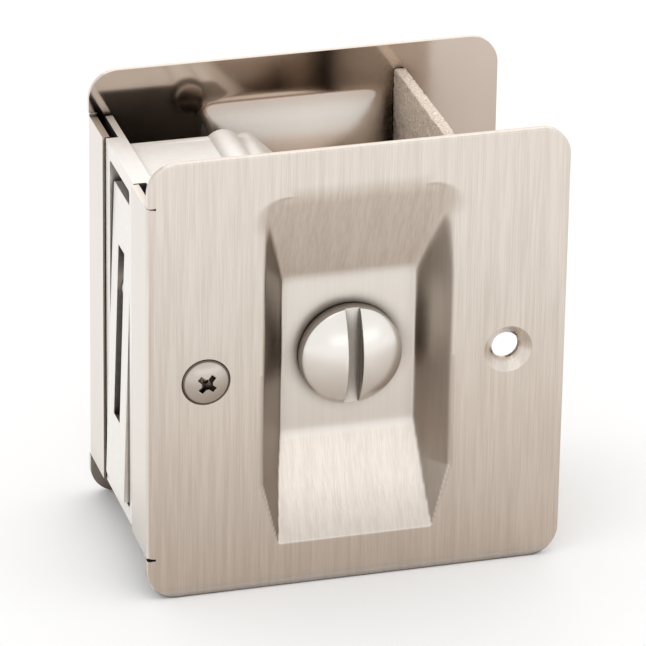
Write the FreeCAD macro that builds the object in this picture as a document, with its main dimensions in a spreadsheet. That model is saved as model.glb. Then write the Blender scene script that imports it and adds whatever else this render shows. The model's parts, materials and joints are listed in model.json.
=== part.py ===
import FreeCAD, Part
import math
import os

import Sketcher

# Pocket door pull with a privacy turn, in millimetres.
# X runs along the plates, with the door edge at -X. Y runs through the door, from the front plate to the
# back plate. Z is up. The origin lies on the axis of the turn, halfway through the door.

SIZES = {
    # plates, pressed from sheet
    "door_thickness": 34.9,
    "plate_width": 63.5,
    "plate_height": 69.85,
    "plate_sheet": 1.1,
    "plate_corner": 4.5,
    "plate_edge_round": 0.25,
    "flange_reach": 9.7,
    "flange_bend": 1.2,
    "relief_height": 0.35,
    "relief_depth": 1.25,
    # finger recess
    "recess_depth": 5.6,
    "recess_floor_width": 20.6,
    "recess_floor_height": 25.0,
    "recess_mouth_width": 28.8,
    "recess_mouth_height": 56.0,
    "recess_top_bend": 10.0,
    "recess_top_corner": 6.0,
    "recess_side_bend": 1.0,
    "recess_lip_bend": 0.5,
    "recess_lip_width": 23.6,
    "recess_lip_taper": 10.0,
    "recess_ramp_hollow": 0.4,
    "bulge_top_corner": 4.5,
    "bulge_floor_corner": 1.4,
    "bulge_root_bend": 0.4,
    # dimpled screw holes
    "screw_inset": 8.75,
    "fixing_hole_diameter": 4.2,
    "dimple_diameter": 7.4,
    "dimple_depth": 1.5,
    "dimple_land": 0.7,
    "dimple_wall": 0.9,
    # edge frame of the case
    "frame_setback": 0.4,
    "frame_thickness": 3.0,
    "frame_height": 56.2,
    "frame_end_gap": 0.15,
    "frame_corner": 0.8,
    "window_width": 12.0,
    "window_height": 51.6,
    "window_corner": 0.6,
    "strip_width": 2.5,
    "rebate_depth": 1.9,
    # box of the case
    "case_thickness": 14.6,
    "case_wall": 1.4,
    "case_height": 54.8,
    "case_rim": 1.6,
    "case_shoulder": 9.8,
    "case_round": 2.0,
    "hub_pocket_radius": 10.8,
    "cover_gap": 0.1,
    "boss_offset": 14.0,
    "boss_height": 25.3,
    "boss_diameter": 6.0,
    "screw_boss_diameter": 8.0,
    # rear spacer
    "spacer_offset": 15.3,
    "spacer_thickness": 2.0,
    "spacer_height": 62.4,
    # edge pull
    "pull_setback": 0.35,
    "pull_thickness": 2.2,
    "pull_width": 11.0,
    "pull_top": 22.5,
    "pull_bottom": 25.4,
    "pull_corner": 0.5,
    "pull_slot_width": 3.6,
    "pull_slot_height": 27.6,
    "pull_pin_inset": 2.6,
    "pull_pin_height": 17.5,
    "pull_pin_diameter": 3.0,
    "pull_ear_radius": 2.9,
    "pull_ear_thickness": 1.8,
    "pull_ear_gap": 0.4,
    "pull_rest_tilt": 1.6,
    # closing spring of the edge pull
    "spring_wire": 0.7,
    "spring_radius": 2.05,
    "spring_pitch": 0.85,
    "spring_turns": 5.25,
    "spring_arm": 7.0,
    "spring_finger": 4.4,
    "peg_diameter": 2.4,
    "peg_offset": 5.6,
    # hook bolt and its link
    "hook_pivot_inset": 20.0,
    "hook_pivot_drop": 10.0,
    "hook_thickness": 2.8,
    "hook_hub_radius": 4.5,
    "hook_arm_left": 3.0,
    "hook_arm_right": 3.4,
    "hook_nose_height": 7.0,
    "hook_nose_radius": 2.1,
    "hook_nose_setback": 0.65,
    "hook_pin_diameter": 4.0,
    "crank_radius": 8.0,
    "crank_pin_diameter": 2.4,
    "crank_eye_radius": 2.4,
    "rivet_head_diameter": 3.8,
    "rivet_head_height": 0.6,
    "link_width": 4.4,
    "link_thickness": 1.6,
    "layer_gap": 0.2,
    # turn, release and hub
    "spindle_side": 4.0,
    "socket_depth": 3.0,
    "hub_web_radius": 5.2,
    "hub_flat": 4.4,
    "hub_journal_diameter": 9.0,
    "spindle_hole_diameter": 7.0,
    "leaf_thickness": 0.5,
    "leaf_width": 3.4,
    "leaf_length": 19.0,
    "button_diameter": 15.4,
    "button_rim": 2.0,
    "button_dome": 2.5,
    "button_chamfer": 0.25,
    "button_slot_width": 2.3,
    "button_slot_sink": 0.25,
    "button_lift": 0.2,
    "shank_diameter": 9.0,
    "shank_length": 2.8,
    "ring_thickness": 0.8,
    "ring_width": 2.4,
    "ring_sink": 0.55,
    "ring_lift": 0.15,
    "ring_mouth": 5.0,
    "release_diameter": 11.0,
    "release_height": 1.6,
    "release_slot_width": 1.8,
    "release_slot_depth": 1.0,
    # screws
    "screw_head_diameter": 7.1,
    "screw_head_rise": 0.9,
    "screw_shank_diameter": 3.5,
    "screw_length": 9.5,
    "screw_tip": 1.2,
    "cross_width": 0.85,
    "cross_span": 3.1,
    "cross_depth": 1.3,
    "cover_screw_diameter": 2.5,
    "cover_screw_length": 7.0,
    "cover_head_diameter": 4.6,
    "cover_head_height": 1.5,
    "cover_slot_width": 0.8,
    "cover_slot_depth": 0.7,
    # fits
    "running_clearance": 0.05,
    "pin_clearance": 0.02,
    "thread_clearance": 0.05,
}

V = FreeCAD.Vector
doc = FreeCAD.newDocument("pocket_door_pull")
sheet = doc.addObject("Spreadsheet::Sheet", "Sizes")
for row, (name, number) in enumerate(SIZES.items(), start=1):
    sheet.set(f"A{row}", name)
    sheet.set(f"B{row}", str(number))
    sheet.setAlias(f"B{row}", name)
doc.recompute()


class Size:
    """A length that carries the sheet rule which gives it."""

    def __init__(self, rule, number):
        self.rule = rule
        self.number = number

    def __float__(self):
        return float(self.number)

    def __neg__(self):
        return Size(f"(0 - {self.rule})", -self.number)

    def __add__(self, other):
        return Size(f"({self.rule} + {rule_of(other)})", self.number + float(other))

    def __sub__(self, other):
        return Size(f"({self.rule} - {rule_of(other)})", self.number - float(other))

    def __mul__(self, factor):
        return Size(f"({self.rule} * {rule_of(factor)})", self.number * float(factor))

    def __truediv__(self, divisor):
        return Size(f"({self.rule} / {rule_of(divisor)})", self.number / float(divisor))


def rule_of(length):
    """The rule of a size, or a plain number as text."""
    return length.rule if isinstance(length, Size) else repr(float(length))


class Sizes:
    """Every size of the sheet as an attribute."""

    def __init__(self):
        for name in SIZES:
            setattr(self, name, Size(f"Sizes.{name}", float(sheet.get(name))))


s = Sizes()


def bind(thing, prop, length):
    """Tie one property of a document object to a size."""
    thing.setExpression(prop, rule_of(length))


def place(thing, x=0, y=0, z=0):
    """Tie the position of a document object to three sizes."""
    for axis, length in zip("xyz", (x, y, z)):
        if isinstance(length, Size):
            bind(thing, f"Placement.Base.{axis}", length)
    thing.Placement.Base = V(float(x), float(y), float(z))
    return thing


# Sketches and solids

def new_body(name):
    made = doc.addObject("PartDesign::Body", name)
    made.Label = name
    return made


def new_sketch(body, role, offset):
    """A sketch on one origin plane of a body, moved along the plane's normal."""
    made = body.newObject("Sketcher::SketchObject", f"{body.Name}_sketch")
    plane = next(item for item in body.Origin.OriginFeatures if item.Role == role)
    made.AttachmentSupport = [(plane, "")]
    made.MapMode = "FlatFace"
    bind(made, "AttachmentOffset.Base.z", offset)
    return made


def hold_point(sketch, geometry, end, x, y):
    """Constrain one point of a sketch to two sizes."""
    for kind, length, axis in (("DistanceX", x, -2), ("DistanceY", y, -1)):
        if float(length) == 0:
            sketch.addConstraint(Sketcher.Constraint("PointOnObject", geometry, end, axis))
            continue
        index = sketch.addConstraint(Sketcher.Constraint(kind, -1, 1, geometry, end, float(length)))
        sketch.setExpression(f"Constraints[{index}]", rule_of(length))


def polygon(*corners):
    """A drawing of straight sides through constrained corners."""
    def draw(sketch):
        first = sketch.GeometryCount
        count = len(corners)
        spots = [V(float(x), float(y), 0) for x, y in corners]
        for index in range(count):
            sketch.addGeometry(Part.LineSegment(spots[index], spots[(index + 1) % count]), False)
        for index in range(count):
            following = first + (index + 1) % count
            sketch.addConstraint(Sketcher.Constraint("Coincident", first + index, 2, following, 1))
        for index, (x, y) in enumerate(corners):
            hold_point(sketch, first + index, 1, x, y)
    return draw


def rectangle(left, bottom, right, top):
    return polygon((left, bottom), (right, bottom), (right, top), (left, top))


def circle(x, y, radius):
    """A drawing of one constrained circle."""
    def draw(sketch):
        index = sketch.addGeometry(Part.Circle(V(float(x), float(y), 0), V(0, 0, 1), float(radius)), False)
        hold_point(sketch, index, 3, x, y)
        size = sketch.addConstraint(Sketcher.Constraint("Radius", index, float(radius)))
        sketch.setExpression(f"Constraints[{size}]", rule_of(radius))
    return draw


def curve(edges):
    """A drawing of lines and arcs worked out beforehand."""
    def draw(sketch):
        for edge in edges:
            sketch.addGeometry(edge, False)
    return draw


def line(start, end):
    return Part.LineSegment(V(*start, 0), V(*end, 0))


def arc(start, middle, end):
    return Part.Arc(V(*start, 0), V(*middle, 0), V(*end, 0))


def sketched(body, role, offset, drawings):
    sketch = new_sketch(body, role, offset)
    for draw in drawings:
        draw(sketch)
    return sketch


def slab(body, role, low, high, *drawings):
    """Add material between two levels of the axis that the origin plane faces."""
    offset = -(high) if role == "XZ_Plane" else low
    feature = body.newObject("PartDesign::Pad", f"{body.Name}_slab")
    feature.Profile = sketched(body, role, offset, drawings)
    bind(feature, "Length", high - low)
    body.Tip = feature
    doc.recompute()
    return feature


def cut(body, role, low, high, *drawings):
    """Take material away between two levels of the axis that the origin plane faces."""
    before = body.Shape.Volume
    offset = -(low) if role == "XZ_Plane" else high
    feature = body.newObject("PartDesign::Pocket", f"{body.Name}_cut")
    feature.Profile = sketched(body, role, offset, drawings)
    bind(feature, "Length", high - low)
    body.Tip = feature
    doc.recompute()
    if body.Shape.Volume >= before:
        raise ValueError(f"a cut in {body.Label} took nothing away")
    return feature


def turned(name, edges):
    """A body turned about Y from a half section in the XY plane."""
    body = new_body(name)
    sketch = new_sketch(body, "XY_Plane", 0)
    curve(edges)(sketch)
    feature = body.newObject("PartDesign::Revolution", f"{name}_turned")
    feature.Profile = sketch
    feature.ReferenceAxis = (sketch, ["V_Axis"])
    feature.Angle = 360
    body.Tip = feature
    doc.recompute()
    return body


def section(*points):
    """Straight edges through points and back to the first."""
    return [line(a, b) for a, b in zip(points, points[1:] + points[:1])]


def rounded(body, radius, wanted):
    """Round the edges of a body that a test picks."""
    base = body.Tip
    picked = [f"Edge{index}" for index, edge in enumerate(base.Shape.Edges, start=1) if wanted(edge)]
    if not picked:
        raise ValueError(f"no edge of {body.Label} to round")
    feature = body.newObject("PartDesign::Fillet", f"{body.Name}_round")
    feature.Base = (base, picked)
    bind(feature, "Radius", radius)
    body.Tip = feature
    doc.recompute()
    if "Up-to-date" not in feature.State:
        raise ValueError(f"a round of {body.Label} failed")
    return feature


def along(edge, direction):
    """Whether an edge is straight and runs along a direction."""
    if edge.Curve.TypeId != "Part::GeomLine":
        return False
    return abs(abs(edge.Curve.Direction.dot(direction)) - 1) < 1e-6


def near(first, second):
    return abs(float(first) - float(second)) < 1e-4


def at_depth(edge, level):
    """Whether an edge lies in one plane across Y."""
    ends = [edge.valueAt(edge.FirstParameter), edge.valueAt(edge.LastParameter), edge.CenterOfMass]
    return all(near(point.y, level) for point in ends)


def cylinder_y(name, radius, low, high, x, z):
    """A round bar along Y."""
    bar = doc.addObject("Part::Cylinder", name)
    bind(bar, "Radius", radius)
    bind(bar, "Height", high - low)
    bar.Placement = FreeCAD.Placement(V(0, 0, 0), FreeCAD.Rotation(V(1, 0, 0), -90))
    return place(bar, x, low, z)


def cone_y(name, low_radius, high_radius, low, high, x):
    """A taper along Y."""
    taper = doc.addObject("Part::Cone", name)
    bind(taper, "Radius1", low_radius)
    bind(taper, "Radius2", high_radius)
    bind(taper, "Height", high - low)
    taper.Placement = FreeCAD.Placement(V(0, 0, 0), FreeCAD.Rotation(V(1, 0, 0), -90))
    return place(taper, x, low, 0)


def block(name, low, high):
    """A box between two corners."""
    made = doc.addObject("Part::Box", name)
    for prop, a, b in zip(("Length", "Width", "Height"), low, high):
        bind(made, prop, b - a)
    return place(made, *low)


def fused(name, *shapes):
    made = doc.addObject("Part::MultiFuse", name)
    made.Shapes = list(shapes)
    return made


def common(name, *shapes):
    made = doc.addObject("Part::MultiCommon", name)
    made.Shapes = list(shapes)
    return made


def without(name, base, tool):
    made = doc.addObject("Part::Cut", name)
    made.Base = base
    made.Tool = tool
    made.Label = name
    return made


# Shared levels and places

zero = s.plate_width - s.plate_width
inner_face = s.door_thickness / 2
outer_face = inner_face + s.plate_sheet
plate_edge = -(s.plate_width / 2)
recess_floor = outer_face - s.recess_depth
floor_back = recess_floor - s.plate_sheet
screw_seat = outer_face - s.dimple_depth - s.dimple_land
screw_x = s.plate_width / 2 - s.screw_inset
frame_face = plate_edge + s.frame_setback
frame_back = frame_face + s.frame_thickness
case_side = s.case_thickness / 2
case_inside = case_side - s.case_wall
hook_x = -(s.hook_pivot_inset)
hook_z = -(s.hook_pivot_drop)
hook_side = s.hook_thickness / 2
link_back = -(hook_side + s.layer_gap)
link_front = link_back - s.link_thickness
pull_back = frame_face + s.pull_setback + s.pull_thickness
pull_pin_x = pull_back + s.pull_pin_inset
shank_end = recess_floor + s.button_lift - s.shank_length

crank_angle = math.atan2(float(hook_z), float(hook_x)) + math.radians(45)
crank = (float(s.crank_radius) * math.cos(crank_angle), float(s.crank_radius) * math.sin(crank_angle))


# Plates

def recess_side_edges():
    """Side section of the finger recess: soft bend above, two hollow ramps, a flat floor and a lip below."""
    face = -float(outer_face)
    floor = -float(recess_floor)
    outside = face - float(s.plate_sheet)
    floor_half = float(s.recess_floor_height) / 2
    mouth_half = float(s.recess_mouth_height) / 2
    slope = math.atan2(float(s.recess_depth), mouth_half - floor_half)
    hollow = float(s.recess_ramp_hollow)

    def end(sign, bend):
        reach = bend * math.tan(slope / 2)
        rim = (face, sign * (mouth_half + reach))
        onto = (face + reach * math.sin(slope), sign * (mouth_half - reach * math.cos(slope)))
        halfway = (face + bend * (1 - math.cos(slope / 2)),
                   sign * (mouth_half + reach - bend * math.sin(slope / 2)))
        crease = (floor, sign * floor_half)
        dip = ((onto[0] + crease[0]) / 2 + hollow * math.cos(slope),
               (onto[1] + crease[1]) / 2 + sign * hollow * math.sin(slope))
        return rim, halfway, onto, dip, crease

    top = end(1, float(s.recess_top_bend))
    low = end(-1, float(s.recess_lip_bend))
    return [
        line((outside, low[0][1]), (outside, top[0][1])),
        line((outside, top[0][1]), top[0]),
        arc(top[0], top[1], top[2]),
        arc(top[2], top[3], top[4]),
        line(top[4], low[4]),
        arc(low[4], low[3], low[2]),
        arc(low[2], low[1], low[0]),
        line(low[0], (outside, low[0][1])),
    ]


def bend_reach(bend, mouth, floor):
    """How far a bend of the sheet runs past the corner it rounds, beside a wall from mouth to floor."""
    return bend * math.tan(math.atan2(float(s.recess_depth), mouth - floor) / 2)


def recess_plan_edges():
    """Plan section of the finger recess: drafted walls that bend over into the face."""
    face = -float(outer_face)
    floor = -float(recess_floor)
    outside = face - float(s.plate_sheet)
    floor_half = float(s.recess_floor_width) / 2
    mouth_half = float(s.recess_mouth_width) / 2
    bend = float(s.recess_side_bend)
    slope = math.atan2(float(s.recess_depth), mouth_half - floor_half)
    reach = bend * math.tan(slope / 2)
    rim = (mouth_half + reach, face)
    onto = (mouth_half - reach * math.cos(slope), face + reach * math.sin(slope))
    halfway = (rim[0] - bend * math.sin(slope / 2), face + bend * (1 - math.cos(slope / 2)))
    right = [(rim[0], outside), rim, halfway, onto, (floor_half, floor)]
    left = [(-x, y) for x, y in right]
    return [
        line(left[0], right[0]),
        line(right[0], right[1]),
        arc(right[1], right[2], right[3]),
        line(right[3], right[4]),
        line(right[4], left[4]),
        line(left[4], left[3]),
        arc(left[3], left[2], left[1]),
        line(left[1], left[0]),
    ]


def recess_front_edges():
    """Front outline of the finger recess: round upper corners, and sides drawn in to the lip."""
    heights = (float(s.recess_mouth_height) / 2, float(s.recess_floor_height) / 2)
    widths = (float(s.recess_mouth_width) / 2, float(s.recess_floor_width) / 2)
    top = heights[0] + bend_reach(float(s.recess_top_bend), *heights)
    low = -heights[0] - bend_reach(float(s.recess_lip_bend), *heights)
    side = widths[0] + bend_reach(float(s.recess_side_bend), *widths)
    corner = float(s.recess_top_corner)
    knee = low + float(s.recess_lip_taper)
    lip = float(s.recess_lip_width) / 2
    halfway = corner * (1 - math.sqrt(0.5))
    return [
        line((-lip, low), (lip, low)),
        line((lip, low), (side, knee)),
        line((side, knee), (side, top - corner)),
        arc((side, top - corner), (side - halfway, top - halfway), (side - corner, top)),
        line((side - corner, top), (corner - side, top)),
        arc((corner - side, top), (halfway - side, top - halfway), (-side, top - corner)),
        line((-side, top - corner), (-side, knee)),
        line((-side, knee), (-lip, low)),
    ]


def rounded_rectangle(half_width, top, low, top_corner, low_corner):
    """Outline with one radius at its upper corners and another at its lower ones."""
    corners = [(1, low + low_corner, low_corner), (1, top - top_corner, top_corner),
               (-1, top - top_corner, top_corner), (-1, low + low_corner, low_corner)]
    arcs = []
    for index, (side, height, radius) in enumerate(corners):
        angles = [math.radians(-90 + 90 * index + 45 * step) for step in range(3)]
        arcs.append([(side * (half_width - radius) + radius * math.cos(angle), height + radius * math.sin(angle))
                     for angle in angles])
    edges = []
    for points, following in zip(arcs, arcs[1:] + arcs[:1]):
        edges.append(arc(*points))
        edges.append(line(points[2], following[0]))
    return edges


def add_bulge(body):
    """Back of the pressed recess, about one sheet thickness outside it."""
    thickness = float(s.plate_sheet)
    depth = float(s.recess_depth)

    def outer_half(mouth, floor, bend):
        """Half size of the bulge where it leaves the sheet and at its flat back."""
        slope = math.atan2(depth, mouth - floor)
        rise = math.tan(slope / 2)
        return mouth + bend * rise, floor + thickness * rise

    sides = outer_half(float(s.recess_mouth_width) / 2, float(s.recess_floor_width) / 2,
                       float(s.recess_side_bend))
    heights = (float(s.recess_mouth_height) / 2, float(s.recess_floor_height) / 2)
    tops = outer_half(*heights, float(s.recess_top_bend))
    lows = outer_half(*heights, float(s.recess_lip_bend) + thickness)

    def at_level(halves, level):
        return halves[0] + (halves[1] - halves[0]) * (level - thickness) / depth

    sections = []
    for level, top_corner in ((thickness / 2, s.bulge_top_corner), (depth + thickness, s.bulge_floor_corner)):
        outline = rounded_rectangle(at_level(sides, level), at_level(tops, level), -at_level(lows, level),
                                    float(top_corner), float(s.bulge_floor_corner))
        sections.append(sketched(body, "XZ_Plane", outer_face - level, [curve(outline)]))
    loft = body.newObject("PartDesign::AdditiveLoft", f"{body.Name}_bulge")
    loft.Profile = sections[0]
    loft.Sections = [sections[1]]
    loft.Ruled = True
    body.Tip = loft
    doc.recompute()
    return loft


def make_front_plate():
    blank = new_body("front_blank")
    half_height = s.plate_height / 2
    slab(blank, "XZ_Plane", -(outer_face), -(inner_face),
         rectangle(plate_edge, -(half_height), s.plate_width / 2, half_height))
    rounded(blank, s.plate_corner, lambda edge: along(edge, V(0, 1, 0)))
    rounded(blank, s.plate_edge_round, lambda edge: at_depth(edge, -(outer_face)))
    flange_half = s.frame_height / 2
    relief = flange_half + s.relief_height
    slab(blank, "XZ_Plane", -(outer_face), s.flange_reach - outer_face,
         rectangle(plate_edge, -(flange_half), plate_edge + s.plate_sheet, flange_half))
    cut(blank, "XZ_Plane", -(outer_face), -(inner_face),
        rectangle(plate_edge, flange_half, plate_edge + s.relief_depth, relief),
        rectangle(plate_edge, -(relief), plate_edge + s.relief_depth, -(flange_half)))
    rounded(blank, s.flange_bend, lambda edge: along(edge, V(0, 0, 1))
            and near(edge.CenterOfMass.x, plate_edge) and near(edge.CenterOfMass.y, -(outer_face))
            and near(edge.CenterOfMass.z, 0))
    add_bulge(blank)
    inside_outline = float(half_height - s.plate_edge_round)
    rounded(blank, s.bulge_root_bend, lambda edge: at_depth(edge, -(inner_face))
            and max(edge.BoundBox.XMax, -edge.BoundBox.XMin) < float(s.recess_mouth_width)
            and max(edge.BoundBox.ZMax, -edge.BoundBox.ZMin) < inside_outline)

    side = new_body("recess_side")
    slab(side, "YZ_Plane", -(s.recess_mouth_width), s.recess_mouth_width, curve(recess_side_edges()))
    plan = new_body("recess_plan")
    slab(plan, "XY_Plane", -(s.recess_mouth_height), s.recess_mouth_height, curve(recess_plan_edges()))
    front = new_body("recess_front")
    slab(front, "XZ_Plane", -(outer_face) - s.plate_sheet, zero, curve(recess_front_edges()))
    tools = [common("recess_hollow", side, plan, front)]
    walls = [blank]
    hole = s.fixing_hole_diameter / 2
    mouth = s.dimple_diameter / 2
    for end, x in (("left", -(screw_x)), ("right", screw_x)):
        walls.append(cone_y(f"dimple_back_{end}", mouth + s.dimple_wall, hole + s.dimple_wall,
                            -(outer_face) + s.plate_sheet / 2, -(screw_seat), x))
        tools.append(cone_y(f"dimple_{end}", mouth, hole,
                            -(outer_face), -(outer_face) + s.dimple_depth, x))
        tools.append(cylinder_y(f"fixing_hole_{end}", hole, -(outer_face), -(screw_seat) + s.plate_sheet, x, 0))
    tools.append(cylinder_y("turn_hole", s.shank_diameter / 2 + s.running_clearance,
                            -(outer_face), zero, 0, 0))
    return without("front_plate", fused("front_sheet", *walls), fused("front_openings", *tools))


def make_back_plate(front):
    back = doc.addObject("Part::Mirroring", "back_plate")
    back.Label = "back_plate"
    back.Source = front
    back.Base = V(0, 0, 0)
    back.Normal = V(0, 1, 0)
    return back


# Case

def bell(left, half_height, shoulder, radius):
    """Outline of the case box: square towards the door edge, drawn in to a round end about the hub."""
    corner = (-shoulder, half_height)
    reach = math.hypot(*corner)
    angle = math.atan2(corner[1], corner[0]) - math.acos(radius / reach)
    touch = (radius * math.cos(angle), radius * math.sin(angle))
    return [
        line((left, -half_height), (left, half_height)),
        line((left, half_height), corner),
        line(corner, touch),
        arc(touch, (radius, 0), (touch[0], -touch[1])),
        line((touch[0], -touch[1]), (corner[0], -corner[1])),
        line((corner[0], -corner[1]), (left, -half_height)),
    ]


def case_outline(left):
    return curve(bell(float(left), float(s.case_height) / 2, float(s.case_shoulder),
                      float(s.hub_pocket_radius + s.case_rim)))


def boss_circles(radius):
    return [circle(-(s.boss_offset), s.boss_height, radius), circle(-(s.boss_offset), -(s.boss_height), radius)]


def pin_holes():
    """Holes for the two pivot pins, the same in both walls of the case."""
    return [circle(hook_x, hook_z, s.hook_pin_diameter / 2 + s.pin_clearance),
            circle(pull_pin_x, s.pull_pin_height, s.pull_pin_diameter / 2 + s.pin_clearance)]


def shoulder_edge(edge):
    """Upright corners of the case box where its top and bottom turn down to the hub."""
    return along(edge, V(0, 1, 0)) and near(edge.CenterOfMass.x, -(s.case_shoulder)) and near(
        abs(edge.CenterOfMass.z), s.case_height / 2)


def screw_pocket():
    return circle(-(screw_x), 0, s.screw_shank_diameter / 2 + s.thread_clearance)


def make_case_body():
    body = new_body("case_body")
    half_height = s.frame_height / 2
    half_depth = inner_face - s.frame_end_gap
    raised = s.window_width / 2 + s.strip_width
    joint_level = case_side - s.case_wall
    slab(body, "YZ_Plane", frame_face, frame_back, rectangle(-(half_depth), -(half_height), half_depth, half_height))
    cut(body, "YZ_Plane", frame_face, frame_face + s.rebate_depth,
        rectangle(-(half_depth), -(half_height), -(raised), half_height),
        rectangle(raised, -(half_height), half_depth, half_height))
    rounded(body, s.frame_corner, lambda edge: along(edge, V(1, 0, 0))
            and near(abs(edge.CenterOfMass.y), half_depth))
    slab(body, "XZ_Plane", -(case_side), joint_level, case_outline(frame_back))
    rounded(body, s.case_round, shoulder_edge)
    inner_height = float(s.case_height) / 2 - float(s.case_rim)
    cut(body, "XZ_Plane", -(case_inside), joint_level,
        curve(bell(float(frame_back), inner_height, float(s.case_shoulder + s.case_rim / 2),
                   float(s.hub_pocket_radius))))
    slab(body, "XZ_Plane", -(case_side), joint_level, *boss_circles(s.boss_diameter / 2))
    window_half = float(s.window_height) / 2
    window_corner = float(s.window_corner)
    cut(body, "YZ_Plane", frame_face, frame_back,
        curve(rounded_rectangle(float(s.window_width) / 2, window_half, -window_half, window_corner, window_corner)))
    slab(body, "XZ_Plane", -(screw_seat), -(case_side), circle(-(screw_x), 0, s.screw_boss_diameter / 2))
    cut(body, "XZ_Plane", -(screw_seat), -(case_side) - s.pin_clearance, screw_pocket())
    cut(body, "XZ_Plane", -(case_side), -(case_inside), *pin_holes(),
        circle(0, 0, s.spindle_hole_diameter / 2))
    pilot = s.cover_screw_diameter / 2 + s.thread_clearance
    cut(body, "XZ_Plane", case_side - s.cover_screw_length - s.case_wall, joint_level, *boss_circles(pilot))
    peg_z = s.pull_pin_height - s.spring_radius - s.spring_wire / 2 - s.peg_diameter / 2 - s.pin_clearance
    slab(body, "XZ_Plane", -(case_inside), link_back,
         circle(pull_pin_x + s.peg_offset, peg_z, s.peg_diameter / 2))
    return body


def make_case_cover():
    body = new_body("case_cover")
    joint_level = case_side - s.case_wall
    slab(body, "XZ_Plane", joint_level, case_side, case_outline(frame_back + s.cover_gap))
    rounded(body, s.case_round, shoulder_edge)
    slab(body, "XZ_Plane", joint_level, case_side, *boss_circles(s.boss_diameter / 2))
    slab(body, "XZ_Plane", case_side, screw_seat, circle(-(screw_x), 0, s.screw_boss_diameter / 2))
    cut(body, "XZ_Plane", case_side + s.pin_clearance, screw_seat, screw_pocket())
    cut(body, "XZ_Plane", joint_level, case_side, *pin_holes(),
        circle(0, 0, s.hub_journal_diameter / 2 + s.running_clearance),
        *boss_circles(s.cover_screw_diameter / 2 + s.thread_clearance))
    return body


def make_rear_spacer():
    half_height = s.spacer_height / 2
    spacer = block("rear_spacer", (s.spacer_offset, -(inner_face), -(half_height)),
                   (s.spacer_offset + s.spacer_thickness, inner_face, half_height))
    spacer.Label = "rear_spacer"
    return spacer


# Edge pull

def make_edge_pull():
    """Lever plate with its pivot at the body's own origin, leaning out a little as it hangs at rest."""
    body = new_body("edge_pull")
    face = -(s.pull_pin_inset)
    half = s.pull_width / 2
    slot = s.pull_slot_width / 2
    slot_half = s.pull_slot_height / 2
    slab(body, "YZ_Plane", face - s.pull_thickness, face,
         rectangle(-(half), -(s.pull_bottom) - s.pull_pin_height, half, s.pull_top - s.pull_pin_height))
    rounded(body, s.pull_corner, lambda edge: along(edge, V(1, 0, 0)))
    cut(body, "YZ_Plane", face - s.pull_thickness, face,
        rectangle(-(slot), -(slot_half) - s.pull_pin_height, slot, slot_half - s.pull_pin_height))
    outer = half - s.pull_ear_gap / 4
    inner = outer - s.pull_ear_thickness
    ear = [rectangle(face, -(s.pull_ear_radius), zero, s.pull_ear_radius)]
    for low, high in ((-(outer), -(inner)), (inner, outer)):
        slab(body, "XZ_Plane", low, high, *ear)
        slab(body, "XZ_Plane", low, high, circle(0, 0, s.pull_ear_radius))
    cut(body, "XZ_Plane", -(half), half, circle(0, 0, s.pull_pin_diameter / 2 + s.running_clearance))
    body.Placement.Rotation = FreeCAD.Rotation(V(0, 1, 0), float(s.pull_rest_tilt))
    bind(body, "Placement.Rotation.Angle", s.pull_rest_tilt)
    return place(body, pull_pin_x, 0, s.pull_pin_height)


def make_pivot_pin(name, diameter, x, z):
    pin = cylinder_y(name, diameter / 2, -(case_side), case_side, x, z)
    pin.Label = name
    return pin


def make_pull_spring():
    """Torsion spring on the pull's pin: one arm lies on the case's peg, the other behind the pull's top."""
    wire = s.spring_wire / 2
    coil_height = s.spring_pitch * s.spring_turns
    helix = doc.addObject("Part::Helix", "spring_path")
    bind(helix, "Radius", s.spring_radius)
    bind(helix, "Pitch", s.spring_pitch)
    bind(helix, "Height", coil_height)
    ring = doc.addObject("Part::Circle", "spring_section")
    bind(ring, "Radius", wire)
    lean = math.atan2(float(s.spring_pitch), 2 * math.pi * float(s.spring_radius))
    ring.Placement = FreeCAD.Placement(V(0, 0, 0), FreeCAD.Rotation(V(1, 0, 0), 90 + math.degrees(lean)))
    place(ring, s.spring_radius, 0, 0)
    coil = doc.addObject("Part::Sweep", "spring_coil")
    coil.Sections = [ring]
    coil.Spine = (helix, ["Edge1"])
    coil.Solid = True
    coil.Frenet = True
    finish = 2 * math.pi * float(s.spring_turns)
    radius = float(s.spring_radius)
    legs = [("arm", s.spring_arm, 0, 0, -1), ("finger", s.spring_finger, finish, float(coil_height), 1)]
    wires = [coil]
    for end, length, angle, height, way in legs:
        spot = V(radius * math.cos(angle), radius * math.sin(angle), height)
        onward = V(-math.sin(angle) * math.cos(lean), math.cos(angle) * math.cos(lean), math.sin(lean)) * way
        leg = doc.addObject("Part::Cylinder", f"spring_{end}")
        bind(leg, "Radius", wire)
        bind(leg, "Height", length)
        leg.Placement = FreeCAD.Placement(spot, FreeCAD.Rotation(V(0, 0, 1), onward))
        wires.append(leg)
    spring = fused("edge_pull_spring", *wires)
    spring.Label = "edge_pull_spring"
    spring.Placement.Rotation = FreeCAD.Rotation(V(0, 0, -1), V(-1, 0, 0), V(0, 1, 0), "ZXY")
    return place(spring, pull_pin_x, -(coil_height) / 2, s.pull_pin_height)


# Hook bolt and link

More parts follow.
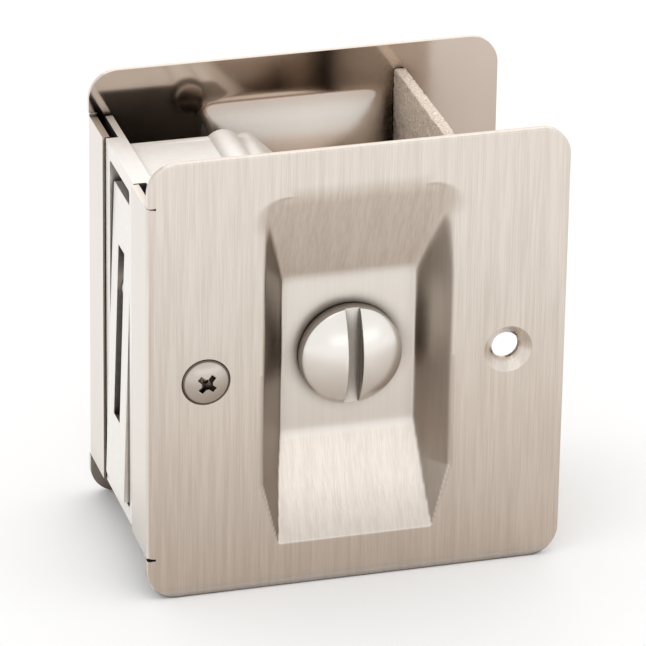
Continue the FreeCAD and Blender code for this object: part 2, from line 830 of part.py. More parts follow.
def hook_edges():
    """Outline of the hook about its pivot, drawn back inside the door with its beak towards the edge."""
    hub = float(s.hook_hub_radius)
    left = -float(s.hook_arm_left)
    right = float(s.hook_arm_right)
    nose = float(s.hook_nose_radius)
    tip = float(frame_face + s.hook_nose_setback - hook_x)
    middle = float(s.hook_nose_height - hook_z)
    root = nose / 2
    throat = middle - nose
    crown = middle + nose * 1.4
    waist = math.sqrt(hub ** 2 - left ** 2)
    shoulder = math.sqrt(hub ** 2 - right ** 2)
    return [
        line((left, waist), (left, throat - root)),
        arc((left, throat - root), (left - root * 0.3, throat - root * 0.3), (left - root, throat)),
        line((left - root, throat), (tip + nose, throat)),
        arc((tip + nose, throat), (tip, middle), (tip + nose, middle + nose)),
        arc((tip + nose, middle + nose), ((tip + nose + left) / 2, (middle + nose + crown) / 2 + nose / 8),
            (left, crown)),
        arc((left, crown), (right * 0.5, crown - nose * 0.35), (right, middle - nose * 0.2)),
        line((right, middle - nose * 0.2), (right, shoulder)),
        arc((right, shoulder), (0, -hub), (left, waist)),
    ]


def bar_edges(start, end, radius):
    """Outline of a bar with round ends."""
    length = math.dist(start, end)
    ahead = ((end[0] - start[0]) / length, (end[1] - start[1]) / length)
    side = (-ahead[1] * radius, ahead[0] * radius)
    start_left = (start[0] + side[0], start[1] + side[1])
    start_right = (start[0] - side[0], start[1] - side[1])
    end_left = (end[0] + side[0], end[1] + side[1])
    end_right = (end[0] - side[0], end[1] - side[1])
    start_cap = (start[0] - ahead[0] * radius, start[1] - ahead[1] * radius)
    end_cap = (end[0] + ahead[0] * radius, end[1] + ahead[1] * radius)
    return [line(start_left, end_left), arc(end_left, end_cap, end_right),
            line(end_right, start_right), arc(start_right, start_cap, start_left)]


def make_hook_bolt():
    body = new_body("hook_bolt")
    slab(body, "XZ_Plane", -(hook_side), hook_side, curve(hook_edges()))
    slab(body, "XZ_Plane", -(hook_side), hook_side, curve(bar_edges((0, 0), crank, float(s.crank_eye_radius))))
    cut(body, "XZ_Plane", -(hook_side), hook_side,
        circle(0, 0, s.hook_pin_diameter / 2 + s.running_clearance),
        circle(crank[0], crank[1], s.crank_pin_diameter / 2 + s.pin_clearance))
    return place(body, hook_x, 0, hook_z)


def make_drive_link():
    body = new_body("drive_link")
    far = (float(hook_x), float(hook_z))
    hole = s.crank_pin_diameter / 2 + s.running_clearance
    slab(body, "XZ_Plane", link_front, link_back, curve(bar_edges((0, 0), far, float(s.link_width) / 2)))
    cut(body, "XZ_Plane", link_front, link_back, circle(0, 0, hole), circle(hook_x, hook_z, hole))
    body.Placement.Base = V(crank[0], 0, crank[1])
    return body


def make_crank_pin(name, x, z):
    """Rivet held in a crank, with its head in front of the link."""
    shank = float(s.crank_pin_diameter) / 2
    head = float(s.rivet_head_diameter) / 2
    back = float(hook_side)
    under = float(link_front - s.running_clearance)
    front = under - float(s.rivet_head_height)
    pin = turned(name, section((0, back), (shank, back), (shank, under), (head, under), (head, front), (0, front)))
    pin.Placement.Base = V(x, 0, z)
    return pin


# Turn, release and hub

def make_drive_hub():
    body = new_body("drive_hub")
    cam_end = case_inside - s.running_clearance
    slab(body, "XZ_Plane", -(hook_side), hook_side, circle(0, 0, s.hub_web_radius))
    slab(body, "XZ_Plane", -(hook_side), hook_side, curve(bar_edges((0, 0), crank, float(s.crank_eye_radius))))
    slab(body, "XZ_Plane", hook_side, cam_end, circle(0, 0, s.hub_web_radius))
    cut(body, "XZ_Plane", hook_side, cam_end,
        rectangle(s.hub_flat, -(s.hub_web_radius), s.hub_web_radius, s.hub_web_radius))
    cut(body, "XZ_Plane", hook_side, cam_end,
        rectangle(-(s.hub_web_radius), -(s.hub_web_radius), s.hub_web_radius, -(s.hub_flat)))
    slab(body, "XZ_Plane", cam_end, case_side, circle(0, 0, s.hub_journal_diameter / 2))
    socket = s.spindle_side / 2 + s.pin_clearance
    cut(body, "XZ_Plane", -(hook_side), case_side, rectangle(-(socket), -(socket), socket, socket))
    cut(body, "XZ_Plane", -(hook_side), hook_side,
        circle(crank[0], crank[1], s.crank_pin_diameter / 2 + s.pin_clearance))
    return body


def make_spindle():
    half = s.spindle_side / 2
    end = shank_end + s.socket_depth - s.running_clearance
    bar = block("spindle", (-(half), -(end), -(half)), (half, end, half))
    bar.Label = "spindle"
    return bar


def make_detent_spring():
    low = hook_side + s.layer_gap * 2
    half = s.leaf_length / 2
    leaf = block("detent_spring", (s.hub_flat + s.running_clearance, low, -(half)),
                 (s.hub_flat + s.running_clearance + s.leaf_thickness, low + s.leaf_width, half))
    leaf.Label = "detent_spring"
    return leaf


def shank_points(under):
    """Half section of a shank from its free end up to the underside of its head, with the ring's groove."""
    shank = float(s.shank_diameter) / 2
    waist = shank - float(s.ring_sink)
    end = float(shank_end)
    ring_high = float(floor_back - s.ring_lift) + float(s.running_clearance)
    ring_low = ring_high - float(s.ring_thickness) - 2 * float(s.running_clearance)
    return [(0, end), (shank, end), (shank, ring_low), (waist, ring_low), (waist, ring_high),
            (shank, ring_high), (shank, under)]


def socketed(name, head, slot_tool):
    """A turned head with its spindle socket and its slot cut in."""
    half = s.spindle_side / 2 + s.pin_clearance
    sign = -1 if float(slot_tool[0][1]) < 0 else 1
    ends = sorted((shank_end * sign, (shank_end + s.socket_depth) * sign), key=float)
    socket = block(f"{name}_socket", (-(half), ends[0], -(half)), (half, ends[1], half))
    slot = block(f"{name}_slot", *slot_tool)
    return without(name, head, fused(f"{name}_openings", socket, slot))


def make_turn_button():
    """Domed button on the front recess floor, split by a slot that runs out at both ends."""
    under = float(recess_floor + s.button_lift)
    rim = under + float(s.button_rim)
    radius = float(s.button_diameter) / 2
    chamfer = float(s.button_chamfer)
    dome_edge = radius - chamfer
    dome_foot = rim + chamfer
    top = rim + float(s.button_dome)
    rise = top - dome_foot
    sphere = (dome_edge ** 2 + rise ** 2) / (2 * rise)
    turn = math.asin(dome_edge / sphere) / 2
    crest = (sphere * math.sin(turn), top - sphere * (1 - math.cos(turn)))
    outline = shank_points(under) + [(radius, under), (radius, rim), (dome_edge, dome_foot)]
    edges = [line(a, b) for a, b in zip(outline, outline[1:])]
    edges += [arc((dome_edge, dome_foot), crest, (0, top)), line((0, top), outline[0])]
    head = turned("turn_button_blank", edges)
    head.Placement.Rotation = FreeCAD.Rotation(V(0, 0, 1), 180)
    half = s.button_slot_width / 2
    floor = recess_floor + s.button_lift + s.button_rim - s.button_slot_sink
    reach = s.button_diameter
    return socketed("turn_button", head,
                    ((-(half), -(outer_face), -(reach)), (half, -(floor), reach)))


def make_release_turn():
    """Coin-slot disc on the rear recess floor."""
    under = float(recess_floor + s.button_lift)
    radius = float(s.release_diameter) / 2
    chamfer = float(s.button_chamfer)
    top = under + float(s.release_height)
    outline = shank_points(under) + [(radius, under), (radius, top - chamfer), (radius - chamfer, top), (0, top)]
    head = turned("release_turn_blank", section(*outline))
    half = s.release_slot_width / 2
    floor = recess_floor + s.button_lift + s.release_height - s.release_slot_depth
    reach = s.release_diameter / 2 - s.button_rim
    return socketed("release_turn", head, ((-(reach), floor, -(half)), (reach, outer_face, half)))


def make_retaining_rings():
    """Two split rings, one behind each recess floor."""
    outer = s.shank_diameter / 2 + s.ring_width
    inner = s.shank_diameter / 2 - s.ring_sink + s.pin_clearance
    rings = []
    for end, sign in (("front", -1), ("rear", 1)):
        levels = sorted(((floor_back - s.ring_lift - s.ring_thickness) * sign, (floor_back - s.ring_lift) * sign),
                        key=float)
        disc = cylinder_y(f"ring_disc_{end}", outer, *levels, 0, 0)
        eye = cylinder_y(f"ring_eye_{end}", inner, *levels, 0, 0)
        mouth = block(f"ring_mouth_{end}", (-(s.ring_mouth / 2), levels[0], -(outer)),
                      (s.ring_mouth / 2, levels[1], zero))
        rings.append(without(f"ring_{end}", disc, fused(f"ring_opening_{end}", eye, mouth)))
    group = doc.addObject("Part::Compound", "retaining_rings")
    group.Label = "retaining_rings"
    group.Links = rings
    return group


# Screws

def make_plate_screws():
    """Oval-head screws with a cross recess, one through each plate into the case."""
    head = float(s.screw_head_diameter) / 2
    shank = float(s.screw_shank_diameter) / 2
    slack = float(s.running_clearance)
    mouth = float(s.dimple_diameter) / 2
    hole = float(s.fixing_hole_diameter) / 2
    depth = float(s.dimple_depth)
    taper = (mouth - hole) / depth
    rim_depth = (mouth - head - slack) / taper
    foot = hole - slack
    length = float(s.screw_length)
    tip = float(s.screw_tip)
    rise = float(s.screw_head_rise)
    sphere = (head ** 2 + rise ** 2) / (2 * rise)
    turn = math.asin(head / sphere) / 2
    crest = (sphere * math.sin(turn), -rise + sphere * (1 - math.cos(turn)))
    outline = [(head, 0), (head, rim_depth), (foot, depth), (shank, depth), (shank, length - tip),
               (shank / 3, length), (0, length), (0, -rise)]
    edges = [line(a, b) for a, b in zip(outline, outline[1:])] + [arc((0, -rise), crest, (head, 0))]
    blank = turned("plate_screw_blank", edges)
    half = s.cross_width / 2
    span = s.cross_span / 2
    top = -(s.screw_head_rise)
    floor = top + s.cross_depth
    bars = [block("cross_bar_upright", (-(half), top, -(span)), (half, floor, span)),
            block("cross_bar_level", (-(span), top, -(half)), (span, floor, half)),
            cone_y("cross_middle", s.cross_width, s.cross_width / 3, top, floor + s.cross_width / 2, zero)]
    screw = without("front_plate_screw", blank, fused("plate_screw_recess", *bars))
    place(screw, -(screw_x), -(outer_face), 0)
    return mirrored_pair("plate_screws", screw, V(0, 1, 0))


def mirrored_pair(name, first, normal):
    """A group of one piece and its like on the other side of an origin plane."""
    second = doc.addObject("Part::Mirroring", f"{name}_opposite")
    second.Source = first
    second.Base = V(0, 0, 0)
    second.Normal = normal
    group = doc.addObject("Part::Compound", name)
    group.Label = name
    group.Links = [first, second]
    return group


def make_cover_screws():
    """Cheese-head screws that hold the cover at its two bosses."""
    shank = float(s.cover_screw_diameter) / 2
    head = float(s.cover_head_diameter) / 2
    under = float(case_side)
    top = under + float(s.cover_head_height)
    end = under - float(s.cover_screw_length)
    edge = float(s.button_chamfer)
    blank = turned("cover_screw_blank", section((0, end), (shank, end), (shank, under), (head, under),
                                                (head, top - edge), (head - edge, top), (0, top)))
    half = s.cover_slot_width / 2
    reach = s.cover_head_diameter
    slot = block("cover_screw_slot", (-(reach), case_side + s.cover_head_height - s.cover_slot_depth, -(half)),
                 (reach, case_side + s.cover_head_height, half))
    screw = without("upper_cover_screw", blank, slot)
    place(screw, -(s.boss_offset), 0, s.boss_height)
    return mirrored_pair("cover_screws", screw, V(0, 0, 1))


front_plate = make_front_plate()
back_plate = make_back_plate(front_plate)
pieces = [
    front_plate,
    back_plate,
    make_case_body(),
    make_case_cover(),
    make_rear_spacer(),
    make_edge_pull(),
    make_pivot_pin("edge_pull_pin", s.pull_pin_diameter, pull_pin_x, s.pull_pin_height),
    make_pull_spring(),
    make_hook_bolt(),
    make_pivot_pin("hook_pivot_pin", s.hook_pin_diameter, hook_x, hook_z),
    make_drive_link(),
    make_crank_pin("hub_crank_pin", crank[0], crank[1]),
    make_crank_pin("hook_crank_pin", float(hook_x) + crank[0], float(hook_z) + crank[1]),
    make_drive_hub(),
    make_spindle(),
    make_detent_spring(),
    make_turn_button(),
    make_release_turn(),
    make_retaining_rings(),
    make_plate_screws(),
    make_cover_screws(),
]

doc.recompute()
for item in doc.Objects:
    if "Invalid" in item.State or "Error" in item.State:
        raise RuntimeError(f"{item.Label} did not build: {item.State}")
for piece in pieces:
    if piece.Shape.isNull() or not piece.Shape.isValid() or not piece.Shape.Solids:
        raise RuntimeError(f"{piece.Label} is not a sound solid")

os.makedirs("parts", exist_ok=True)
for piece in pieces:
    piece.Shape.exportStep(f"parts/{piece.Label}.step")
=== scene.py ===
import json
import math

import bmesh
import bpy
from mathutils import Matrix, Vector, noise
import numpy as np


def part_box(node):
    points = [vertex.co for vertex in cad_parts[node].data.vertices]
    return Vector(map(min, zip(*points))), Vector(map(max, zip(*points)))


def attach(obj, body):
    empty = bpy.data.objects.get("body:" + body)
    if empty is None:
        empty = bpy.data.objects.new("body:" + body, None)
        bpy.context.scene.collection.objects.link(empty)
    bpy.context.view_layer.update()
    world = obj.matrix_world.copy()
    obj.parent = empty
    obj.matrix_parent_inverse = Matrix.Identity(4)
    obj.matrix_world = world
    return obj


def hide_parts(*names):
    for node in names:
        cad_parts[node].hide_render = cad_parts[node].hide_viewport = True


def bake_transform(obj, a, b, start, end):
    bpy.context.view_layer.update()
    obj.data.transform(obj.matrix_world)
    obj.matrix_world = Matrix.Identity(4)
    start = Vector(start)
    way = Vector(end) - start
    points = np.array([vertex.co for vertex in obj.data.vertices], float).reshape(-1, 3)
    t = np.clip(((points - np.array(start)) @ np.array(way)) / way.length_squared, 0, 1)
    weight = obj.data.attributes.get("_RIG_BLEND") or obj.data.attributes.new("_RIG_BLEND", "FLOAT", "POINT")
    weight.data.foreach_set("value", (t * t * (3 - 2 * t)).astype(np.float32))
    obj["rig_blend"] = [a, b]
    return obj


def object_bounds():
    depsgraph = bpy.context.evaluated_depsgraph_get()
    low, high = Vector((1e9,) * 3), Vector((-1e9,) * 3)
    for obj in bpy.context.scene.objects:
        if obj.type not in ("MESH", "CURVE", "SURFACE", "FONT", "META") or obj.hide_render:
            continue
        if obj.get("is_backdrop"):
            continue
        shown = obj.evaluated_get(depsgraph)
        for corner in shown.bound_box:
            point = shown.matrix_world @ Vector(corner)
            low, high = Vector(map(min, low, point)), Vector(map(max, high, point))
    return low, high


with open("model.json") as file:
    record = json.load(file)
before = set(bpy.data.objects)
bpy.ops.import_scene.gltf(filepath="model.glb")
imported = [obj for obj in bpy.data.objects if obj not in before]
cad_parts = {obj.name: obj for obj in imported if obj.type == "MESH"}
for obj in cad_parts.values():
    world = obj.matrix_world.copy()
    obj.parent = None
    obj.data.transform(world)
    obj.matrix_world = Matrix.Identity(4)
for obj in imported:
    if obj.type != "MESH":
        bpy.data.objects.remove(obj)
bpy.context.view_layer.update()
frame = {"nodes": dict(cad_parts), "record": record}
MM = 0.001

bl_info = {
    "name": "Pocket door pull",
    "version": (1, 0, 0),
    "blender": (4, 5, 0),
    "location": "View3D > Sidebar > Door pull",
    "description": "Finished pieces of a pocket door pull with a privacy turn, and the stage they stand on",
    "category": "Object",
}


# Sizes and colours that a user would change

class FinishSettings(bpy.types.PropertyGroup):
    """Colours and textures of the metal."""

    satin_light: bpy.props.FloatVectorProperty(
        name="Satin, light", description="Pale strokes of the brushed plates", subtype="COLOR",
        size=3, min=0, max=1, default=(0.80, 0.735, 0.665))
    satin_dark: bpy.props.FloatVectorProperty(
        name="Satin, dark", description="Dark strokes of the brushed plates", subtype="COLOR",
        size=3, min=0, max=1, default=(0.70, 0.63, 0.56))
    # Painted shade for the recess walls, the lower ramp and the rims of the turns.
    satin_wall_shade: bpy.props.FloatVectorProperty(
        name="Satin, walls", description="Unbrushed walls of the recess", subtype="COLOR",
        size=3, min=0, max=1, default=(0.30, 0.25, 0.21))
    # Inner sides of the plates: unbrushed, and coloured darker as painted shade.
    satin_inside_shaded: bpy.props.FloatVectorProperty(
        name="Satin, inside", description="Unbrushed inner sides of the plates", subtype="COLOR",
        size=3, min=0, max=1, default=(0.60, 0.51, 0.44))
    # Colour of the painted shade laid into crevices, gaps between parts and the line round the plate screws.
    grime: bpy.props.FloatVectorProperty(
        name="Grime", description="Dark tarnish in crevices", subtype="COLOR",
        size=3, min=0, max=1, default=(0.10, 0.075, 0.055))
    brush_pitch: bpy.props.FloatProperty(
        name="Brush pitch", description="Distance between brush strokes", unit="LENGTH",
        min=0.00002, max=0.002, default=0.00022)
    brush_length: bpy.props.FloatProperty(
        name="Brush length", description="Length of one brush stroke", unit="LENGTH",
        min=0.001, max=0.1, default=0.011)
    # Also laid on the bulge and the deepest recess floor as a painted highlight, and on the flange edges as
    # real rubbing.
    polish: bpy.props.FloatVectorProperty(
        name="Polish", description="Turn, release and rubbed spots of the plates", subtype="COLOR",
        size=3, min=0, max=1, default=(0.86, 0.83, 0.78))
    screw: bpy.props.FloatVectorProperty(
        name="Screws", description="Plated screw heads", subtype="COLOR",
        size=3, min=0, max=1, default=(0.56, 0.50, 0.45))
    casting: bpy.props.FloatVectorProperty(
        name="Casting", description="Case, its cover and the edge pull", subtype="COLOR",
        size=3, min=0, max=1, default=(0.88, 0.85, 0.81))
    rough_casting: bpy.props.FloatVectorProperty(
        name="Rough casting", description="Rear spacer", subtype="COLOR",
        size=3, min=0, max=1, default=(1.0, 0.86, 0.73))
    steel: bpy.props.FloatVectorProperty(
        name="Steel", description="Hook, hub, link, pins and rings", subtype="COLOR",
        size=3, min=0, max=1, default=(0.90, 0.86, 0.81))
    spring_steel: bpy.props.FloatVectorProperty(
        name="Spring steel", description="Coil and leaf", subtype="COLOR",
        size=3, min=0, max=1, default=(0.50, 0.49, 0.48))


class ShapeSettings(bpy.types.PropertyGroup):
    """Small sizes of the finished pieces."""

    plate_face: bpy.props.FloatProperty(
        name="Plate face", description="Middle of the part to the outer face of a plate", unit="LENGTH",
        default=18.55 * MM)
    edge_break: bpy.props.FloatProperty(
        name="Edge break", description="Width of the broken edges", unit="LENGTH",
        min=0, max=0.001, default=0.00012)
    coil_turns: bpy.props.FloatProperty(
        name="Coil turns", description="Turns of the closing spring", min=1, max=12, default=5.25)
    coil_radius: bpy.props.FloatProperty(
        name="Coil radius", description="Middle of the wire to the middle of the coil", unit="LENGTH",
        min=0.001, max=0.005, default=0.00205)
    wire_radius: bpy.props.FloatProperty(
        name="Wire radius", description="Half the thickness of the spring wire", unit="LENGTH",
        min=0.0001, max=0.001, default=0.00035)
    coil_height: bpy.props.FloatProperty(
        name="Coil height", description="From the first turn to the last", unit="LENGTH",
        min=0.001, max=0.02, default=0.0044625)


class RecessSettings(bpy.types.PropertyGroup):
    """Recess pressed into each plate."""

    depth: bpy.props.FloatProperty(
        name="Depth", description="Face to floor", unit="LENGTH", default=5.6 * MM)
    mouth_width: bpy.props.FloatProperty(
        name="Mouth width", description="Between the corners where the walls meet the face", unit="LENGTH",
        default=28.8 * MM)
    floor_width: bpy.props.FloatProperty(
        name="Floor width", description="Between the feet of the walls", unit="LENGTH", default=20.6 * MM)
    mouth_height: bpy.props.FloatProperty(
        name="Mouth height", description="From the lip to the top of the upper ramp", unit="LENGTH",
        default=56 * MM)
    floor_height: bpy.props.FloatProperty(
        name="Floor height", description="From one ramp to the other", unit="LENGTH", default=25 * MM)
    side_bend: bpy.props.FloatProperty(
        name="Side bend", description="Radius from the face into a wall", unit="LENGTH", default=1.0 * MM)
    top_bend: bpy.props.FloatProperty(
        name="Top bend", description="Radius from the face into the upper ramp", unit="LENGTH",
        default=10 * MM)
    top_corner: bpy.props.FloatProperty(
        name="Top corner", description="Radius of the mouth's upper corners", unit="LENGTH", default=6 * MM)
    lip_bend: bpy.props.FloatProperty(
        name="Lip bend", description="Radius from the lower ramp into the face", unit="LENGTH",
        default=0.35 * MM)
    lip_taper: bpy.props.FloatProperty(
        name="Lip taper", description="Height over which the walls narrow to the lip", unit="LENGTH",
        default=10 * MM)
    lip_width: bpy.props.FloatProperty(
        name="Lip width", description="Length of the lip", unit="LENGTH", default=23.6 * MM)
    hollow: bpy.props.FloatProperty(
        name="Hollow", description="How far the lower ramp curves in", unit="LENGTH", default=0.4 * MM)
    sheet: bpy.props.FloatProperty(
        name="Sheet", description="Thickness of the plate", unit="LENGTH", default=1.1 * MM)
    root_bend: bpy.props.FloatProperty(
        name="Root bend", description="Half the rise over which the bulge leaves the sheet", unit="LENGTH",
        default=0.45 * MM)
    bulge_corner: bpy.props.FloatProperty(
        name="Bulge corner", description="Rounding of the bulge's outline", unit="LENGTH", default=2.5 * MM)
    pillow: bpy.props.FloatProperty(
        name="Pillow", description="How far the ramps of the bulge swell out", unit="LENGTH",
        default=0.8 * MM)
    cell: bpy.props.FloatProperty(
        name="Cell", description="Mesh size of the recess", unit="LENGTH", default=0.22 * MM)


class StageSettings(bpy.types.PropertyGroup):
    """Camera, lamps and floor."""

    lens: bpy.props.FloatProperty(
        name="Lens", description="Focal length on a 36 mm sensor", min=20, max=600, default=298.86)
    camera_place: bpy.props.FloatVectorProperty(
        name="Camera place", description="Where the camera stands", subtype="TRANSLATION", unit="LENGTH",
        size=3, default=(-0.2005655, -0.6962542, 0.3414948))
    camera_right: bpy.props.FloatVectorProperty(
        name="Camera right", description="Direction to the right of the picture", subtype="DIRECTION",
        size=3, default=(0.9626528, -0.2703933, 0.0136806))
    camera_up: bpy.props.FloatVectorProperty(
        name="Camera up", description="Direction to the top of the picture", subtype="DIRECTION",
        size=3, default=(0.1038433, 0.4154243, 0.9036809))
    floor_colour: bpy.props.FloatVectorProperty(
        name="Floor", description="Colour of the floor", subtype="COLOR", size=3, min=0, max=1,
        default=(0.97, 0.97, 0.97))
    card: bpy.props.FloatProperty(
        name="Card", description="How far the grey card in front of the part reaches", unit="LENGTH",
        min=0.01, max=1, default=0.14)
    # The card's colour at the plate's foot is a painted shade of the floor, seen only in reflections.
    card_shade_colour: bpy.props.FloatVectorProperty(
        name="Card colour", description="Colour of the card at the foot of the plate", subtype="COLOR",
        size=3, min=0, max=1, default=(0.62, 0.56, 0.51))
    sky: bpy.props.FloatProperty(
        name="Sky", description="Brightness of the surroundings", min=0, max=4, default=1.0)
    key_power: bpy.props.FloatProperty(
        name="Key lamp", description="Power of the broad lamp overhead", unit="POWER",
        min=0, max=500, default=0.8)
    front_power: bpy.props.FloatProperty(
        name="Front lamp", description="Power of the lamp in front", unit="POWER",
        min=0, max=500, default=0.3)
    rear_power: bpy.props.FloatProperty(
        name="Rear lamp", description="Power of the lamp behind", unit="POWER", min=0, max=500, default=1.2)


# Node trees

class Field:
    """One output socket of a node tree, with plain arithmetic."""

    def __init__(self, graph, socket):
        self.graph = graph
        self.socket = socket

    def _math(self, operation, first, second):
        return self.graph.node("ShaderNodeMath", {"operation": operation}, {0: first, 1: second})

    def __add__(self, other):
        return self._math("ADD", self, other)

    def __radd__(self, other):
        return self._math("ADD", other, self)

    def __sub__(self, other):
        return self._math("SUBTRACT", self, other)

    def __rsub__(self, other):
        return self._math("SUBTRACT", other, self)

    def __mul__(self, other):
        return self._math("MULTIPLY", self, other)

    def __rmul__(self, other):
        return self._math("MULTIPLY", other, self)

    def __truediv__(self, other):
        return self._math("DIVIDE", self, other)

    def __rtruediv__(self, other):
        return self._math("DIVIDE", other, self)


class Graph:
    """Adds nodes to a shader or geometry tree."""

    def __init__(self, tree):
        self.tree = tree

    def node(self, kind, settings=None, sockets=None, output=0):
        """One node: its settings first, then the values or links of its sockets, and one of its outputs."""
        made = self.tree.nodes.new(kind)
        for name, setting in (settings or {}).items():
            setattr(made, name, setting)
        for key, given in (sockets or {}).items():
            socket = made.inputs[key]
            if isinstance(given, Field):
                self.tree.links.new(given.socket, socket)
            else:
                socket.default_value = given
        return Field(self, made.outputs[output]) if made.outputs else made


class Finish(Graph):
    """A metal finish built on the Principled shader."""

    def __init__(self, name, roughness, metallic=1.0):
        self.material = bpy.data.materials.new(name)
        self.material.use_nodes = True
        super().__init__(self.material.node_tree)
        self.shader = self.tree.nodes["Principled BSDF"]
        self.shader.inputs["Metallic"].default_value = metallic
        self.shader.inputs["Roughness"].default_value = roughness
        self.place = self.node("ShaderNodeTexCoord", output="Object")

    def feed(self, socket, given):
        """Give one socket of the shader a colour, a number or a varying field."""
        if isinstance(given, Field):
            self.tree.links.new(given.socket, self.shader.inputs[socket])
        else:
            self.shader.inputs[socket].default_value = given

    def stretched(self, pitch):
        """Object coordinates counted in pitches along each axis."""
        return self.node("ShaderNodeVectorMath", {"operation": "MULTIPLY"},
                         {0: self.place, 1: tuple(1 / p for p in pitch)})

    def noise(self, pitch, detail=2.0, roughness=0.5):
        return self.node("ShaderNodeTexNoise", {"noise_dimensions": "3D"},
                         {"Vector": self.stretched(pitch), "Scale": 1.0, "Detail": detail,
                          "Roughness": roughness})

    def blend(self, amount, first, second):
        """A colour between two others."""
        return self.node("ShaderNodeMix", {"data_type": "RGBA", "clamp_factor": True},
                         {0: amount, 6: (*first, 1.0) if not isinstance(first, Field) else first,
                          7: (*second, 1.0) if not isinstance(second, Field) else second}, output=2)

    def between(self, field, low, high, to_low=0.0, to_high=1.0):
        """A field brought from one range to another, smoothly and without overshoot."""
        return self.node("ShaderNodeMapRange", {"interpolation_type": "SMOOTHSTEP"},
                         {"Value": field, 1: low, 2: high, 3: to_low, 4: to_high})

    def bump(self, height, distance, strength=1.0):
        self.feed("Normal", self.node("ShaderNodeBump", None,
                                      {"Strength": strength, "Distance": distance, "Height": height}))

    def attribute(self, name):
        return self.node("ShaderNodeAttribute", {"attribute_name": name}, output="Fac")

    def sooted(self, colour, reach, depth=0.75, full=0.3, alone=False):
        """A colour with painted shade in crevices and between parts, most where little open air is left."""
        open_air = self.node("ShaderNodeAmbientOcclusion", {"samples": 6, "only_local": alone},
                             {"Distance": reach}, output="AO")
        hidden = self.between(open_air, 0.92, full)
        grime = bpy.context.scene.door_pull_finish.grime
        return self.blend(hidden * depth, colour, grime)


def shade(colour, factor):
    """A colour made lighter or darker."""
    return tuple(min(1.0, channel * factor) for channel in colour)


def satin_sheet():
    """Brushed plates: upright strokes outside, smoother plating inside, with painted shade on the recess
    walls, the lower ramp, the inner sides and in crevices, and a painted highlight on the bulge and the
    deepest recess floor.
    """
    settings = bpy.context.scene.door_pull_finish
    finish = Finish("satin sheet", 0.3)
    pitch = settings.brush_pitch
    length = settings.brush_length
    fine = finish.noise((pitch, pitch * 4, length), 3.0, 0.6)
    broad = finish.noise((pitch * 5, pitch * 20, length * 3), 2.0, 0.5)
    cloud = finish.noise((9 * MM, 9 * MM, 16 * MM), 2.0, 0.5)
    outside = finish.attribute("brushed")
    # Painted shade on the recess walls and the lower ramp, from the mask that the pressed plates carry.
    wall = finish.attribute("recess_shade_mask") * outside
    strokes = fine * 0.6 + broad * 0.4
    tone = finish.between(strokes, 0.36, 0.64)
    brushed = finish.blend(tone, settings.satin_dark, settings.satin_light)
    smooth = finish.blend(cloud, shade(settings.satin_inside_shaded, 0.95), shade(settings.satin_inside_shaded, 1.05))
    # Polish on the rubbed flange edges, and painted highlight on the bulge and the deepest recess floor.
    rub_and_sheen = finish.attribute("rub_and_sheen")
    plated = finish.blend(outside, smooth, brushed)
    plated = finish.blend(rub_and_sheen * 0.7, plated, settings.polish)
    walls_shaded = finish.blend(wall, plated, settings.satin_wall_shade)
    # Painted shade in wide hollows of the inner sides, then in close crevices everywhere.
    shaded = finish.sooted(walls_shaded, 14 * MM, 0.75)
    finish.feed("Base Color", finish.sooted(finish.blend(outside, shaded, walls_shaded), 2.6 * MM, 0.92, 0.42))
    finish.feed("Roughness", 0.11 + (outside + rub_and_sheen - outside * rub_and_sheen) * 0.14 + outside * strokes * 0.10)
    finish.bump(strokes * outside + cloud * 0.05, 0.00003, 0.35)
    return finish.material


def bright_plating(name, colour, head=None):
    """Plating with faint polishing marks, painted shade on a turn's rim, and a painted shadow line round a
    head of a given middle and radius.
    """
    settings = bpy.context.scene.door_pull_finish
    finish = Finish(name, 0.2)
    marks = finish.noise((0.18 * MM, 0.9 * MM, 5 * MM), 2.0, 0.5)
    cloud = finish.noise((3 * MM, 3 * MM, 3 * MM), 2.0, 0.5)
    plated = finish.blend(cloud, shade(colour, 0.95), shade(colour, 1.03))
    # Painted shade on the faces marked as a turn's rim.
    plated = finish.blend(finish.attribute("rim") * 0.85, plated, settings.satin_wall_shade)
    if head:
        middle, radius = head
        spoke = finish.node("ShaderNodeVectorMath", {"operation": "MULTIPLY_ADD"},
                            {0: finish.place, 1: (1, 0, 1), 2: (-middle, 0, 0)})
        reach = finish.node("ShaderNodeVectorMath", {"operation": "LENGTH"}, {0: spoke}, output="Value")
        # Painted shadow line where a head meets its dimple.
        past_edge = finish.between(reach, 1.2 * radius, 1.3 * radius)
        line = finish.between(reach, 0.89 * radius, 0.95 * radius) - past_edge
        plated = finish.blend(line * 0.9, plated, settings.grime)
    finish.feed("Base Color", finish.sooted(plated, 2.6 * MM, 0.92, 0.45))
    finish.feed("Roughness", 0.18 + marks * 0.06 + cloud * 0.05)
    finish.bump(marks + cloud * 0.5, 0.00001, 0.05)
    return finish.material


def polished_metal():
    """Turn and release."""
    return bright_plating("polished metal", bpy.context.scene.door_pull_finish.polish)


def screw_metal():
    """Screw heads, duller than the turn, with a painted shadow line where the plate screws meet their
    dimples.
    """
    low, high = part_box("plate_screws")
    head = ((low.x + high.x) / 2, (high.x - low.x) / 2)
    return bright_plating("screw metal", bpy.context.scene.door_pull_finish.screw, head)


